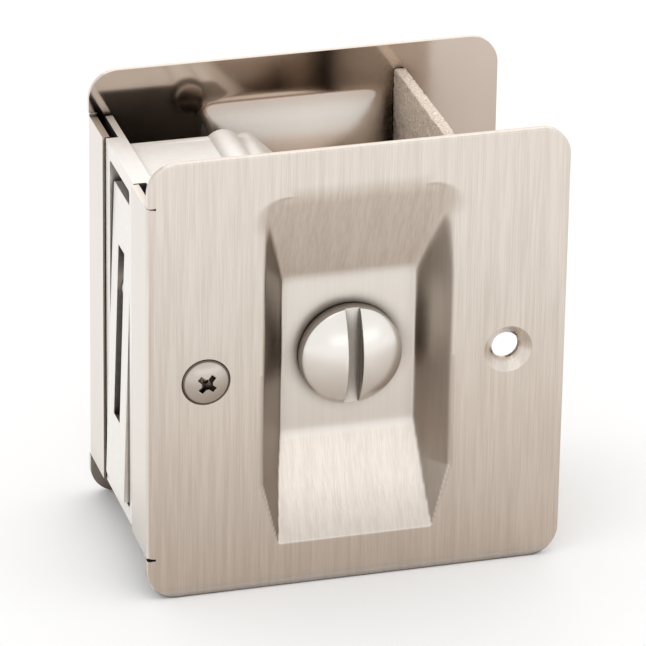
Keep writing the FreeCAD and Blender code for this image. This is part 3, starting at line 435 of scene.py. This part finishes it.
def die_casting(name, reach, depth, full, alone=False):
    """Plated die casting with a slight orange-peel surface and painted shade in its crevices."""
    settings = bpy.context.scene.door_pull_finish
    finish = Finish(name, 0.3)
    peel = finish.noise((1.1 * MM, 1.1 * MM, 1.4 * MM), 3.0, 0.5)
    grit = finish.noise((0.22 * MM, 0.22 * MM, 0.22 * MM), 2.0, 0.6)
    plated = finish.blend(peel, shade(settings.casting, 0.93), shade(settings.casting, 1.04))
    finish.feed("Base Color", finish.sooted(plated, reach, depth, full, alone))
    finish.feed("Roughness", 0.34 + peel * 0.10 + grit * 0.06)
    finish.bump(peel * 0.6 + grit * 0.4, 0.00004, 0.35)
    return finish.material


def smooth_casting():
    """Case and its cover."""
    return die_casting("smooth casting", 2.5 * MM, 0.88, 0.42)


def pull_casting():
    """Edge pull, with painted shade inside its slot that ignores whatever moves beside it."""
    return die_casting("pull casting", 8 * MM, 1.0, 0.65, alone=True)


def rough_casting():
    """Grainy casting that was plated without polishing."""
    settings = bpy.context.scene.door_pull_finish
    finish = Finish("rough casting", 0.4, 0.6)
    grain = finish.noise((0.32 * MM, 0.32 * MM, 0.32 * MM), 4.0, 0.65)
    lumps = finish.noise((1.6 * MM, 1.6 * MM, 2.4 * MM), 3.0, 0.55)
    # Random grain tone that follows the bump: painted shade in its dips and a painted glint on its tops.
    grain_glint_and_shade = finish.between(grain, 0.36, 0.66)
    hollow = shade(settings.rough_casting, 0.62)
    finish.feed("Base Color", finish.blend(grain_glint_and_shade, hollow, settings.rough_casting))
    finish.feed("Roughness", 0.42 + grain * 0.22)
    finish.bump(grain * 0.7 + lumps * 0.6, 0.0003, 0.9)
    return finish.material


def plain_steel():
    """Turned and stamped steel with fine tool marks."""
    settings = bpy.context.scene.door_pull_finish
    finish = Finish("plain steel", 0.32, 0.6)
    marks = finish.noise((0.3 * MM, 0.12 * MM, 0.9 * MM), 3.0, 0.6)
    cloud = finish.noise((4 * MM, 4 * MM, 4 * MM), 2.0, 0.5)
    finish.feed("Base Color", finish.blend(cloud, shade(settings.steel, 0.9), shade(settings.steel, 1.06)))
    finish.feed("Roughness", 0.26 + marks * 0.14)
    finish.bump(marks, 0.00003, 0.3)
    return finish.material


def spring_metal():
    """Drawn wire and rolled strip, darker than the plated pieces."""
    settings = bpy.context.scene.door_pull_finish
    finish = Finish("spring metal", 0.3)
    drawn = finish.noise((0.4 * MM, 0.1 * MM, 0.4 * MM), 3.0, 0.6)
    finish.feed("Base Color", finish.blend(drawn, shade(settings.spring_steel, 0.8),
                                           shade(settings.spring_steel, 1.1)))
    finish.feed("Roughness", 0.24 + drawn * 0.16)
    return finish.material


FINISHES = {
    "satin_sheet": satin_sheet,
    "cast_case": smooth_casting,
    "cast_spacer": rough_casting,
    "pull_metal": pull_casting,
    "polished_metal": polished_metal,
    "screw_metal": screw_metal,
    "plain_steel": plain_steel,
    "spring_steel": spring_metal,
}
SLOTS = {entry["node"]: entry["material_slot"] for entry in frame["record"]["subparts"]}
BODIES = {node: body for body, nodes in frame["record"]["behaviour"]["bodies"].items() for node in nodes}


def finish_for(slot):
    """The material of a slot, made once."""
    maker = FINISHES[slot]
    name = maker.__name__.replace("_", " ")
    return bpy.data.materials.get(name) or maker()


# Pieces

SHARP_ANGLE = 32


def add_object(name, mesh):
    made = bpy.data.objects.new(name, mesh)
    bpy.context.scene.collection.objects.link(made)
    return made


def settled(piece):
    """The piece with its modifiers worked into its mesh."""
    bpy.context.view_layer.update()
    evaluated = piece.evaluated_get(bpy.context.evaluated_depsgraph_get())
    mesh = bpy.data.meshes.new_from_object(evaluated)
    piece.modifiers.clear()
    old = piece.data
    piece.data = mesh
    bpy.data.meshes.remove(old)
    return piece


def stand_for(piece, *nodes):
    """Put a finished piece in the place of its solids."""
    slot = SLOTS[nodes[0]]
    if not piece.data.materials:
        piece.data.materials.append(finish_for(slot))
    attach(piece, BODIES[nodes[0]])
    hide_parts(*nodes)
    return piece


def clean_copy(node):
    """A joined copy of a solid's mesh, with flat faces made whole."""
    mesh = bmesh.new()
    mesh.from_mesh(frame["nodes"][node].data)
    bmesh.ops.remove_doubles(mesh, verts=mesh.verts[:], dist=1e-6)
    bmesh.ops.dissolve_limit(mesh, angle_limit=math.radians(0.4), verts=mesh.verts[:], edges=mesh.edges[:],
                             use_dissolve_boundaries=False, delimit=set())
    return mesh


def finished_mesh(name, mesh, sharp_angle=SHARP_ANGLE):
    """A mesh datablock with soft curves and crisp corners."""
    data = bpy.data.meshes.new(name)
    mesh.to_mesh(data)
    mesh.free()
    data.polygons.foreach_set("use_smooth", [True] * len(data.polygons))
    data.set_sharp_from_angle(angle=math.radians(sharp_angle))
    return data


def break_edges(piece, width, angle):
    """The piece with its sharp edges broken."""
    bevel = piece.modifiers.new("edge break", "BEVEL")
    bevel.width = width
    bevel.segments = 2
    bevel.limit_method = "ANGLE"
    bevel.angle_limit = math.radians(angle)
    bevel.use_clamp_overlap = True
    bevel.harden_normals = True
    return settled(piece)


def eased(node, name, width=None):
    """A solid's copy with its sharp edges broken."""
    piece = add_object(name, finished_mesh(name, clean_copy(node)))
    width = width or bpy.context.scene.door_pull_shape.edge_break
    return stand_for(break_edges(piece, width, SHARP_ANGLE), node)


def rough_cast(node, name, cell, depth):
    """A solid's copy as it leaves the mould: soft corners, and a skin with lumps and pits sunk into it."""
    piece = add_object(name, finished_mesh(name, clean_copy(node)))
    skin = piece.modifiers.new("skin", "REMESH")
    skin.mode = "VOXEL"
    skin.voxel_size = cell
    skin.use_smooth_shade = True
    settled(piece)
    normals = [vert.normal.copy() for vert in piece.data.vertices]
    for vert, normal in zip(piece.data.vertices, normals):
        lump = noise.noise(vert.co / (2.2 * MM))
        pit = noise.noise(vert.co / (0.7 * MM))
        sunk = min(1.0, max(0.0, 0.4 + 0.5 * lump + 0.5 * pit))
        vert.co -= normal * depth * sunk
    return stand_for(piece, node)


def bent(run, slope, radius):
    """Depth of a sheet that bends from flat into a slope, at a distance past the corner of the bend."""
    past = run + radius * math.tan(slope / 2)
    if past <= 0:
        return 0.0
    if past < radius * math.sin(slope):
        return radius - math.sqrt(radius * radius - past * past)
    return run * math.tan(slope)


def least(depths, crispness):
    """The least of some depths, with a rounded change from one to the next."""
    low = min(depths)
    if low <= 0:
        return 0.0
    return low * sum((low / depth) ** crispness for depth in depths) ** (-1 / crispness)


def slopes(recess):
    """Slopes of the walls and of the ramps."""
    return (math.atan2(recess.depth, (recess.mouth_width - recess.floor_width) / 2),
            math.atan2(recess.depth, (recess.mouth_height - recess.floor_height) / 2))


def share(start, end, place):
    """How far a place lies from a start to an end, from zero to one."""
    return min(1.0, max(0.0, (place - start) / (end - start)))


def eased_step(start, end, place):
    """Zero before a start, one past an end, and a smooth change between them."""
    part = share(start, end, place)
    return part * part * (3 - 2 * part)


def recess_depth(recess, x, z):
    """Depth of the recess behind the face: crisp at the floor, soft at the top corners."""
    ramp_slope = slopes(recess)[1]
    end = recess.mouth_height / 2
    crease = recess.floor_height / 2
    upper = bent(end - z, ramp_slope, recess.top_bend)
    up_ramp = share(-end, -crease, z)
    lower = bent(end + z, ramp_slope, recess.lip_bend) + recess.hollow * 4 * up_ramp * (1 - up_ramp)
    to_lip = share(recess.lip_taper - end, -end, z)
    to_top = eased_step(crease, end + recess.side_bend, z)
    into_corner = recess.top_corner * share(end - recess.top_corner, end, z)
    mouth = (recess.mouth_width + (recess.lip_width - recess.mouth_width) * to_lip) / 2
    foot = (recess.lip_width + (recess.floor_width - recess.lip_width) * up_ramp) / 2
    wall_slope = math.atan2(min(lower, recess.depth) + recess.lip_bend, mouth - foot + recess.lip_bend)
    side_bend = (recess.side_bend + (recess.lip_bend - recess.side_bend) * to_lip
                 + (recess.top_corner - recess.side_bend) * to_top)
    mouth -= recess.top_corner - math.sqrt(recess.top_corner ** 2 - into_corner ** 2)
    wall = bent(mouth - abs(x), wall_slope, side_bend)
    softness = 0.064 + 0.4 * eased_step(crease * 1.1, end + recess.side_bend, z)
    return least((least((wall, upper), 1 / softness), lower, recess.depth), 50)


def bulge_height(recess, x, z):
    """Height of the bulge behind the sheet, with round corners."""
    wall_slope, ramp_slope = slopes(recess)
    wall_run = recess.mouth_width / 2 + recess.sheet * math.tan(wall_slope / 2) - abs(x)
    ramp_run = recess.mouth_height / 2 + recess.sheet * math.tan(ramp_slope / 2) - abs(z)
    corner = recess.bulge_corner
    up_ramp = share(0, recess.depth / math.tan(ramp_slope), ramp_run)
    swell = recess.pillow * 4 * up_ramp * (1 - up_ramp)
    rises = (wall_run * math.tan(wall_slope) + corner, ramp_run * math.tan(ramp_slope) + swell + corner)
    rise = least(rises, 4) - corner
    bend = recess.root_bend
    if abs(rise) < bend:
        rise = (rise + bend) ** 2 / (4 * bend)
    return least((rise, recess.depth), 8)


# Where painted shade falls on the recess: steep walls, faded out near the top, lighter on the right wall, and
# the lower ramp.
WALL_SLOPES = (0.55, 1.05)
WALL_FADE = (20 * MM, 25 * MM)
RIGHT_WALL_SHADE = 0.72
LOWER_RAMP_SHADE = 0.25
FLANGE_RUB = 0.75


def add_patch(mesh, level, facing, height_at, half_width, low, high, cell, hole, stroke):
    """A grid pressed into shape, open at a square hole: its faces, its outer rim and the rim of the hole."""
    columns = 2 * round(half_width / cell)
    rows = round((high - low) / cell)
    recess_shade_mask = mesh.verts.layers.float["recess_shade_mask"]
    brushed = mesh.verts.layers.float["brushed"]
    rub_and_sheen = mesh.verts.layers.float["rub_and_sheen"]
    deepest = height_at(0, 0)
    grid = []
    for row in range(rows + 1):
        z = low + (high - low) * row / rows
        line = []
        for column in range(columns + 1):
            x = half_width * (2 * column / columns - 1)
            vert = mesh.verts.new((x, facing * (level - height_at(x, z)), z))
            ahead = abs(height_at(x + cell / 2, z) - height_at(x - cell / 2, z)) / cell
            deep = height_at(x, z) / deepest
            # Painted shade on the steep walls, less on the right one.
            vert[recess_shade_mask] = eased_step(*WALL_SLOPES, ahead) * (1 - eased_step(*WALL_FADE, z))
            vert[recess_shade_mask] *= 1.0 if x < 0 else RIGHT_WALL_SHADE
            vert[brushed] = stroke
            # Painted highlight on the deepest recess floor outside, and on the bulge inside.
            if stroke:
                vert[rub_and_sheen] = eased_step(0.93, 0.985, deep)
            else:
                vert[rub_and_sheen] = eased_step(0.02, 0.3, deep) * (1.1 - deep)
            # Painted shade on the lower ramp.
            if z < 0 and ahead < 0.5 and deep > 0:
                vert[recess_shade_mask] = LOWER_RAMP_SHADE * eased_step(0.6, 0, deep)
            line.append(vert)
        grid.append(line)
    faces = set()
    for row in range(rows):
        for column in range(columns):
            corners = [grid[row][column], grid[row][column + 1],
                       grid[row + 1][column + 1], grid[row + 1][column]]
            middle = sum((corner.co for corner in corners), Vector()) / 4
            if max(abs(middle.x), abs(middle.z)) > hole:
                faces.add(mesh.faces.new(corners))
    rim = {edge for face in faces for edge in face.edges if edge.is_boundary}
    inner = {edge for edge in rim if max(abs(vert.co.x) + abs(vert.co.z) for vert in edge.verts) < 4 * hole
             and max(max(abs(vert.co.x), abs(vert.co.z)) for vert in edge.verts) < 2 * hole}
    for line in grid:
        for vert in line:
            if not vert.link_faces:
                mesh.verts.remove(vert)
    return faces, rim - inner, inner


def pressed_plate(node, name, facing):
    """A plate's copy with its recess and bulge pressed as smooth sheet; facing is its outside along Y."""
    recess = bpy.context.scene.door_pull_recess
    plate_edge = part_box(node)[0].x
    outer = bpy.context.scene.door_pull_shape.plate_face
    inner = outer - recess.sheet
    hole_reach = 5.4 * MM
    mesh = bmesh.new()
    mesh.from_mesh(frame["nodes"][node].data)
    bmesh.ops.remove_doubles(mesh, verts=mesh.verts[:], dist=1e-6)

    def replaced(face):
        middle = face.calc_center_median()
        level = middle.y * facing
        flat = abs(face.normal.y) > 0.999 and min(abs(level - outer), abs(level - inner)) < 1e-5
        pressed = abs(middle.x) < recess.mouth_width * 0.62 and abs(middle.z) < recess.mouth_height * 0.56
        bore = math.hypot(middle.x, middle.z) < hole_reach and abs(face.normal.y) < 0.5
        return flat or (pressed and not bore)

    for layer in ("recess_shade_mask", "rub_and_sheen", "brushed"):
        mesh.verts.layers.float.new(layer)
    brushed = mesh.verts.layers.float["brushed"]
    rub_and_sheen = mesh.verts.layers.float["rub_and_sheen"]
    for vert in mesh.verts:
        vert[brushed] = float(vert.co.y * facing > inner + 1e-5)
        vert[rub_and_sheen] = FLANGE_RUB * float(vert.co.x < plate_edge + 1e-5) * (1 - vert[brushed])
    bmesh.ops.delete(mesh, geom=[face for face in mesh.faces if replaced(face)], context="FACES")
    open_edges = [edge for edge in mesh.edges if edge.is_boundary]

    def at_level(level):
        return [edge for edge in open_edges
                if all(abs(vert.co.y * facing - level) < 1e-5 for vert in edge.verts)]

    reach_x = recess.mouth_width * 0.58
    reach_z = recess.mouth_height * 0.54
    pressed = set()
    for level, height_at, cell, stroke in ((outer, recess_depth, recess.cell, 1.0),
                                           (inner, bulge_height, recess.cell * 2, 0.0)):
        faces, rim, bore_rim = add_patch(mesh, level, facing, lambda x, z: height_at(recess, x, z),
                                         reach_x, -reach_z, reach_z, cell, hole_reach, stroke)
        pressed |= faces
        for edges in (at_level(level) + list(rim), at_level(level - recess.depth) + list(bore_rim)):
            bmesh.ops.triangle_fill(mesh, edges=edges, use_beauty=True, use_dissolve=False,
                                    normal=Vector((0, facing, 0)))
    bmesh.ops.recalc_face_normals(mesh, faces=mesh.faces[:])
    for edge in mesh.edges:
        if len(edge.link_faces) == 2 and not pressed.issuperset(edge.link_faces):
            edge.smooth = edge.calc_face_angle() < math.radians(28)
    for face in mesh.faces:
        face.smooth = True
    stray = [edge for edge in mesh.edges if len(edge.link_faces) != 2]
    if stray:
        raise RuntimeError(f"{name}: {len(stray)} open edges")
    data = bpy.data.meshes.new(name)
    mesh.to_mesh(data)
    mesh.free()
    piece = add_object(name, data)
    weighted = piece.modifiers.new("flat faces first", "WEIGHTED_NORMAL")
    weighted.keep_sharp = True
    return stand_for(settled(piece), node)


class DOORPULL_OT_plates(bpy.types.Operator):
    """Press the two plates"""

    bl_idname = "door_pull.plates"
    bl_label = "Plates"

    def execute(self, context):
        pressed_plate("front_plate", "plate_front", -1)
        pressed_plate("back_plate", "plate_back", 1)
        return {"FINISHED"}


class DOORPULL_OT_case(bpy.types.Operator):
    """Dress the case, its cover and the edge pull"""

    bl_idname = "door_pull.case"
    bl_label = "Case"

    def execute(self, context):
        names = {"case_body": "case_shell", "case_cover": "case_lid", "edge_pull": "pull_lever"}
        for node, name in names.items():
            eased(node, name)
        return {"FINISHED"}


class DOORPULL_OT_spacer(bpy.types.Operator):
    """Make the rear spacer with its rough edges"""

    bl_idname = "door_pull.spacer"
    bl_label = "Spacer"

    def execute(self, context):
        rough_cast("rear_spacer", "spacer_casting", 0.34 * MM, 0.3 * MM)
        return {"FINISHED"}


class DOORPULL_OT_turns(bpy.types.Operator):
    """Dress the turn and the release"""

    bl_idname = "door_pull.turns"
    bl_label = "Turn and release"

    def execute(self, context):
        for node, name in (("turn_button", "turn_knob"), ("release_turn", "release_knob")):
            self.mark_shaded_rim(eased(node, name, 0.00010))
        return {"FINISHED"}

    @staticmethod
    def mark_shaded_rim(piece):
        """Mark the faces round the edge of a turn, which get a painted shade."""
        faces = piece.data.polygons
        reach = max(math.hypot(face.center.x, face.center.z) for face in faces)
        rim = piece.data.attributes.new("rim", "FLOAT", "FACE")
        for face, mark in zip(faces, rim.data):
            spoke = Vector((face.center.x, 0, face.center.z))
            mark.value = float(spoke.length > 0.8 * reach and face.normal.dot(spoke.normalized()) > 0.75)


class DOORPULL_OT_lock_works(bpy.types.Operator):
    """Dress the hook and the pieces that drive it"""

    bl_idname = "door_pull.lock_works"
    bl_label = "Lock works"

    def execute(self, context):
        for node in ("hook_bolt", "hook_pivot_pin", "edge_pull_pin", "drive_link", "hub_crank_pin",
                     "hook_crank_pin", "drive_hub", "spindle", "retaining_rings", "detent_spring"):
            eased(node, f"{node}_dressed", 0.00008)
        return {"FINISHED"}


def geometry_tree(name, inputs):
    """An empty geometry tree with named inputs, its graph and the fields of those inputs."""
    tree = bpy.data.node_groups.new(name, "GeometryNodeTree")
    for label, kind in inputs:
        tree.interface.new_socket(label, in_out="INPUT", socket_type=kind)
    tree.interface.new_socket("Geometry", in_out="OUTPUT", socket_type="NodeSocketGeometry")
    graph = Graph(tree)
    source = tree.nodes.new("NodeGroupInput")
    fields = {label: Field(graph, source.outputs[label]) for label, _ in inputs}
    return tree, graph, fields


def close_tree(graph, geometry, material):
    """End a geometry tree in plain geometry of one material."""
    whole = graph.node("GeometryNodeRealizeInstances", None, {0: geometry})
    dressed = graph.node("GeometryNodeSetMaterial", None, {"Geometry": whole, "Material": material})
    end = graph.tree.nodes.new("NodeGroupOutput")
    graph.tree.links.new(dressed.socket, end.inputs[0])


def grown(name, tree, given):
    """A plain mesh object grown by a geometry tree with given inputs."""
    piece = add_object(name, bpy.data.meshes.new(name))
    modifier = piece.modifiers.new(name, "NODES")
    modifier.node_group = tree
    for item in tree.interface.items_tree:
        if item.in_out == "INPUT" and item.name in given:
            modifier[item.identifier] = given[item.name]
    return settled(piece)


def repeat_tree():
    """Copies of one piece along a line, each turned a step further than the last."""
    tree, graph, given = geometry_tree("repeated piece", [
        ("Piece", "NodeSocketObject"), ("Count", "NodeSocketInt"), ("Start", "NodeSocketVector"),
        ("Step", "NodeSocketVector"), ("Turn", "NodeSocketVector"), ("Finish", "NodeSocketMaterial")])
    source = graph.node("GeometryNodeObjectInfo", {"transform_space": "ORIGINAL"}, {"Object": given["Piece"]},
                        output="Geometry")
    spots = graph.node("GeometryNodeMeshLine", {"mode": "OFFSET"},
                       {"Count": given["Count"], "Start Location": given["Start"], "Offset": given["Step"]})
    index = graph.node("GeometryNodeInputIndex")
    turn = graph.node("ShaderNodeVectorMath", {"operation": "SCALE"}, {0: given["Turn"], "Scale": index})
    copies = graph.node("GeometryNodeInstanceOnPoints", None,
                        {"Points": spots, "Instance": source, "Rotation": turn})
    close_tree(graph, copies, given["Finish"])
    return tree


def single_screw(node, keep, centre, turn=0.0):
    """One screw out of a group, moved so that a given point is its origin, and turned on its axis."""
    mesh = clean_copy(node)
    bmesh.ops.delete(mesh, geom=[v for v in mesh.verts if not keep(v.co)], context="VERTS")
    bmesh.ops.translate(mesh, verts=mesh.verts[:], vec=-centre)
    bmesh.ops.rotate(mesh, verts=mesh.verts[:], cent=Vector(), matrix=Matrix.Rotation(turn, 3, "Y"))
    sharp_angle = 30
    piece = add_object(f"{node}_pattern", finished_mesh(f"{node}_pattern", mesh, sharp_angle))
    return break_edges(piece, 0.06 * MM, sharp_angle)


class DOORPULL_OT_screws(bpy.types.Operator):
    """Set the plate screws and the cover screws"""

    bl_idname = "door_pull.screws"
    bl_label = "Screws"

    def execute(self, context):
        tree = repeat_tree()
        low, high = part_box("plate_screws")
        across = Vector(((low.x + high.x) / 2, 0, 0))
        pattern = single_screw("plate_screws", lambda co: co.y < 0, across, math.radians(41))
        half_turn = Vector((0, 0, math.pi))
        self.set_group("plate_screws", "plate_screw_pair", tree, pattern, across, Vector(), half_turn)
        low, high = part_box("cover_screws")
        top = Vector(((low.x + high.x) / 2, 0, high.z - (high.x - low.x) / 2))
        pattern = single_screw("cover_screws", lambda co: co.z > 0, top)
        to_foot = Vector((0, 0, -2 * top.z))
        self.set_group("cover_screws", "cover_screw_pair", tree, pattern, top, to_foot, Vector())
        return {"FINISHED"}

    @staticmethod
    def set_group(node, name, tree, pattern, start, step, turn):
        piece = grown(name, tree, {"Piece": pattern, "Count": 2, "Start": start, "Step": step, "Turn": turn,
                                   "Finish": finish_for(SLOTS[node])})
        bpy.data.objects.remove(pattern)
        stand_for(piece, node)


class DOORPULL_OT_closing_spring(bpy.types.Operator):
    """Wind the closing spring of the edge pull"""

    bl_idname = "door_pull.closing_spring"
    bl_label = "Closing spring"

    def execute(self, context):
        shape = context.scene.door_pull_shape
        tree, graph, given = geometry_tree("wound wire", [
            ("Wire Radius", "NodeSocketFloat"), ("Coil Radius", "NodeSocketFloat"),
            ("Turns", "NodeSocketFloat"), ("Height", "NodeSocketFloat"), ("Arm", "NodeSocketVector"),
            ("Finger", "NodeSocketVector"), ("Place", "NodeSocketVector"), ("Facing", "NodeSocketRotation"),
            ("Finish", "NodeSocketMaterial")])
        coil = graph.node("GeometryNodeCurveSpiral", None, {
            "Resolution": 40, "Rotations": given["Turns"], "Start Radius": given["Coil Radius"],
            "End Radius": given["Coil Radius"], "Height": given["Height"]})
        first = graph.node("ShaderNodeCombineXYZ", None, {0: given["Coil Radius"]})
        last = graph.node("ShaderNodeCombineXYZ", None, {1: given["Coil Radius"], 2: given["Height"]})
        arm_end = graph.node("ShaderNodeVectorMath", {"operation": "ADD"}, {0: first, 1: given["Arm"]})
        finger_end = graph.node("ShaderNodeVectorMath", {"operation": "ADD"}, {0: last, 1: given["Finger"]})
        arm = graph.node("GeometryNodeCurvePrimitiveLine", None, {"Start": first, "End": arm_end})
        finger = graph.node("GeometryNodeCurvePrimitiveLine", None, {"Start": last, "End": finger_end})
        joined = graph.tree.nodes.new("GeometryNodeJoinGeometry")
        for part in (coil, arm, finger):
            graph.tree.links.new(part.socket, joined.inputs[0])
        ring = graph.node("GeometryNodeCurvePrimitiveCircle", None,
                          {"Resolution": 14, "Radius": given["Wire Radius"]})
        wire = graph.node("GeometryNodeCurveToMesh", None, {
            "Curve": Field(graph, joined.outputs[0]), "Profile Curve": ring, "Fill Caps": True})
        seated = graph.node("GeometryNodeTransform", None, {
            "Geometry": wire, "Translation": given["Place"], "Rotation": given["Facing"]})
        close_tree(graph, seated, given["Finish"])
        axes = Matrix(((0, -1, 0), (0, 0, 1), (-1, 0, 0)))
        low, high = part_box("edge_pull_pin")
        middle = (low + high) / 2
        lean = shape.coil_height / shape.coil_turns / (2 * math.pi * shape.coil_radius)
        piece = grown("closing_coil", tree, {
            "Wire Radius": shape.wire_radius, "Coil Radius": shape.coil_radius, "Turns": shape.coil_turns,
            "Height": shape.coil_height, "Arm": Vector((0, -7.0 * MM, -7.0 * MM * lean)),
            "Finger": Vector((-4.4 * MM, 0, 4.4 * MM * lean)),
            "Place": middle - Vector((0, shape.coil_height / 2, 0)), "Facing": axes.to_euler(),
            "Finish": finish_for("spring_steel")})
        piece.data.polygons.foreach_set("use_smooth", [True] * len(piece.data.polygons))
        piece.data.set_sharp_from_angle(angle=math.radians(50))
        half = Vector((0, shape.coil_height / 2, 0))
        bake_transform(piece, "base", "pull", start=tuple(middle - half), end=tuple(middle + half))
        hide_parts("edge_pull_spring")
        return {"FINISHED"}


# Stage

def area_lamp(name, place, target, size, power):
    """A broad lamp that faces a point."""
    lamp = bpy.data.lights.new(name, "AREA")
    lamp.shape = "RECTANGLE"
    lamp.size, lamp.size_y = size
    lamp.energy = power
    made = bpy.data.objects.new(name, lamp)
    made.location = place
    made.rotation_euler = (Vector(target) - Vector(place)).to_track_quat("-Z", "Y").to_euler()
    bpy.context.scene.collection.objects.link(made)


class DOORPULL_OT_stage(bpy.types.Operator):
    """Set the floor, lamps, backdrop and camera"""

    bl_idname = "door_pull.stage"
    bl_label = "Stage"

    def execute(self, context):
        settings = context.scene.door_pull_stage
        context.scene.view_settings.view_transform = "Standard"
        self.lay_floor(settings)
        self.lay_card(settings)
        self.light(settings)
        self.set_camera(context, settings)
        return {"FINISHED"}

    @staticmethod
    def lay_floor(settings):
        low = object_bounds()[0]
        mesh = bmesh.new()
        bmesh.ops.create_grid(mesh, x_segments=1, y_segments=1, size=3.0)
        bmesh.ops.translate(mesh, verts=mesh.verts[:], vec=Vector((0, 0, low.z - 0.02 * MM)))
        floor = add_object("floor", finished_mesh("floor", mesh))
        paper = Finish("white paper", 0.9, 0.0)
        paper.feed("Specular IOR Level", 0.0)
        paper.feed("Base Color", (*settings.floor_colour, 1))
        floor.data.materials.append(paper.material)
        floor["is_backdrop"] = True

    @staticmethod
    def lay_card(settings):
        """A grey card at the foot of the front plate, there only for the metal to mirror: darker towards the
        plate, a painted shade of the floor that only reflections show.
        """
        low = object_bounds()[0]
        reach = settings.card
        mesh = bmesh.new()
        corners = ((-reach, -reach), (reach, -reach), (reach, 0), (-reach, 0))
        mesh.faces.new([mesh.verts.new((x, low.y - MM + y, low.z + 0.05 * MM)) for x, y in corners])
        card = add_object("grey_card", finished_mesh("grey_card", mesh))
        tone = Finish("grey card", 0.9, 0.0)
        tone.feed("Specular IOR Level", 0.0)
        ahead = low.y - tone.node("ShaderNodeSeparateXYZ", None, {0: tone.place}, output="Y")
        tone.feed("Base Color", tone.blend(ahead / reach, settings.card_shade_colour, settings.floor_colour))
        card.data.materials.append(tone.material)
        card.visible_camera = False
        card.visible_diffuse = False
        card.visible_shadow = False
        card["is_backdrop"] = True

    @staticmethod
    def light(settings):
        world = bpy.data.worlds.new("studio")
        bpy.context.scene.world = world
        world.use_nodes = True
        sky = world.node_tree.nodes["Background"]
        sky.inputs["Color"].default_value = (1, 1, 1, 1)
        sky.inputs["Strength"].default_value = settings.sky
        area_lamp("key lamp", (-0.25, -0.15, 0.9), (0, 0, 0), (0.8, 0.8), settings.key_power)
        area_lamp("front lamp", (0.25, -0.96, 0.10), (0, 0, 0), (1.2, 0.2), settings.front_power)
        area_lamp("rear lamp", (0.3, 1.0, 0.55), (0, 0, 0), (1.2, 0.8), settings.rear_power)

    @staticmethod
    def set_camera(context, settings):
        lens = bpy.data.cameras.new("camera")
        lens.lens = settings.lens
        lens.sensor_width = 36
        lens.clip_start = 0.01
        lens.dof.use_dof = False
        right = Vector(settings.camera_right).normalized()
        up = Vector(settings.camera_up).normalized()
        turn = Matrix((right, up, right.cross(up))).transposed().to_4x4()
        camera = bpy.data.objects.new("camera", lens)
        camera.matrix_world = Matrix.Translation(settings.camera_place) @ turn
        context.scene.collection.objects.link(camera)
        context.scene.camera = camera


OPERATORS = (
    DOORPULL_OT_plates,
    DOORPULL_OT_case,
    DOORPULL_OT_spacer,
    DOORPULL_OT_turns,
    DOORPULL_OT_screws,
    DOORPULL_OT_closing_spring,
    DOORPULL_OT_lock_works,
    DOORPULL_OT_stage,
)


class DOORPULL_PT_panel(bpy.types.Panel):
    """Sidebar panel of the door pull"""

    bl_idname = "DOORPULL_PT_panel"
    bl_label = "Door pull"
    bl_space_type = "VIEW_3D"
    bl_region_type = "UI"
    bl_category = "Door pull"

    def draw(self, context):
        layout = self.layout
        for operator in OPERATORS:
            layout.operator(operator.bl_idname)
        scene = context.scene
        groups = (scene.door_pull_finish, scene.door_pull_shape,
                  scene.door_pull_recess, scene.door_pull_stage)
        for group in groups:
            for name in group.bl_rna.properties.keys():
                if name not in ("rna_type", "name"):
                    layout.prop(group, name)


CLASSES = (FinishSettings, ShapeSettings, RecessSettings, StageSettings, *OPERATORS, DOORPULL_PT_panel)


def register():
    for item in CLASSES:
        bpy.utils.register_class(item)
    bpy.types.Scene.door_pull_finish = bpy.props.PointerProperty(type=FinishSettings)
    bpy.types.Scene.door_pull_shape = bpy.props.PointerProperty(type=ShapeSettings)
    bpy.types.Scene.door_pull_recess = bpy.props.PointerProperty(type=RecessSettings)
    bpy.types.Scene.door_pull_stage = bpy.props.PointerProperty(type=StageSettings)


def unregister():
    del bpy.types.Scene.door_pull_stage
    del bpy.types.Scene.door_pull_recess
    del bpy.types.Scene.door_pull_shape
    del bpy.types.Scene.door_pull_finish
    for item in reversed(CLASSES):
        bpy.utils.unregister_class(item)


def main():
    register()
    for operator in OPERATORS:
        group, name = operator.bl_idname.split(".")
        getattr(getattr(bpy.ops, group), name)()


if __name__ == "__main__":
    main()
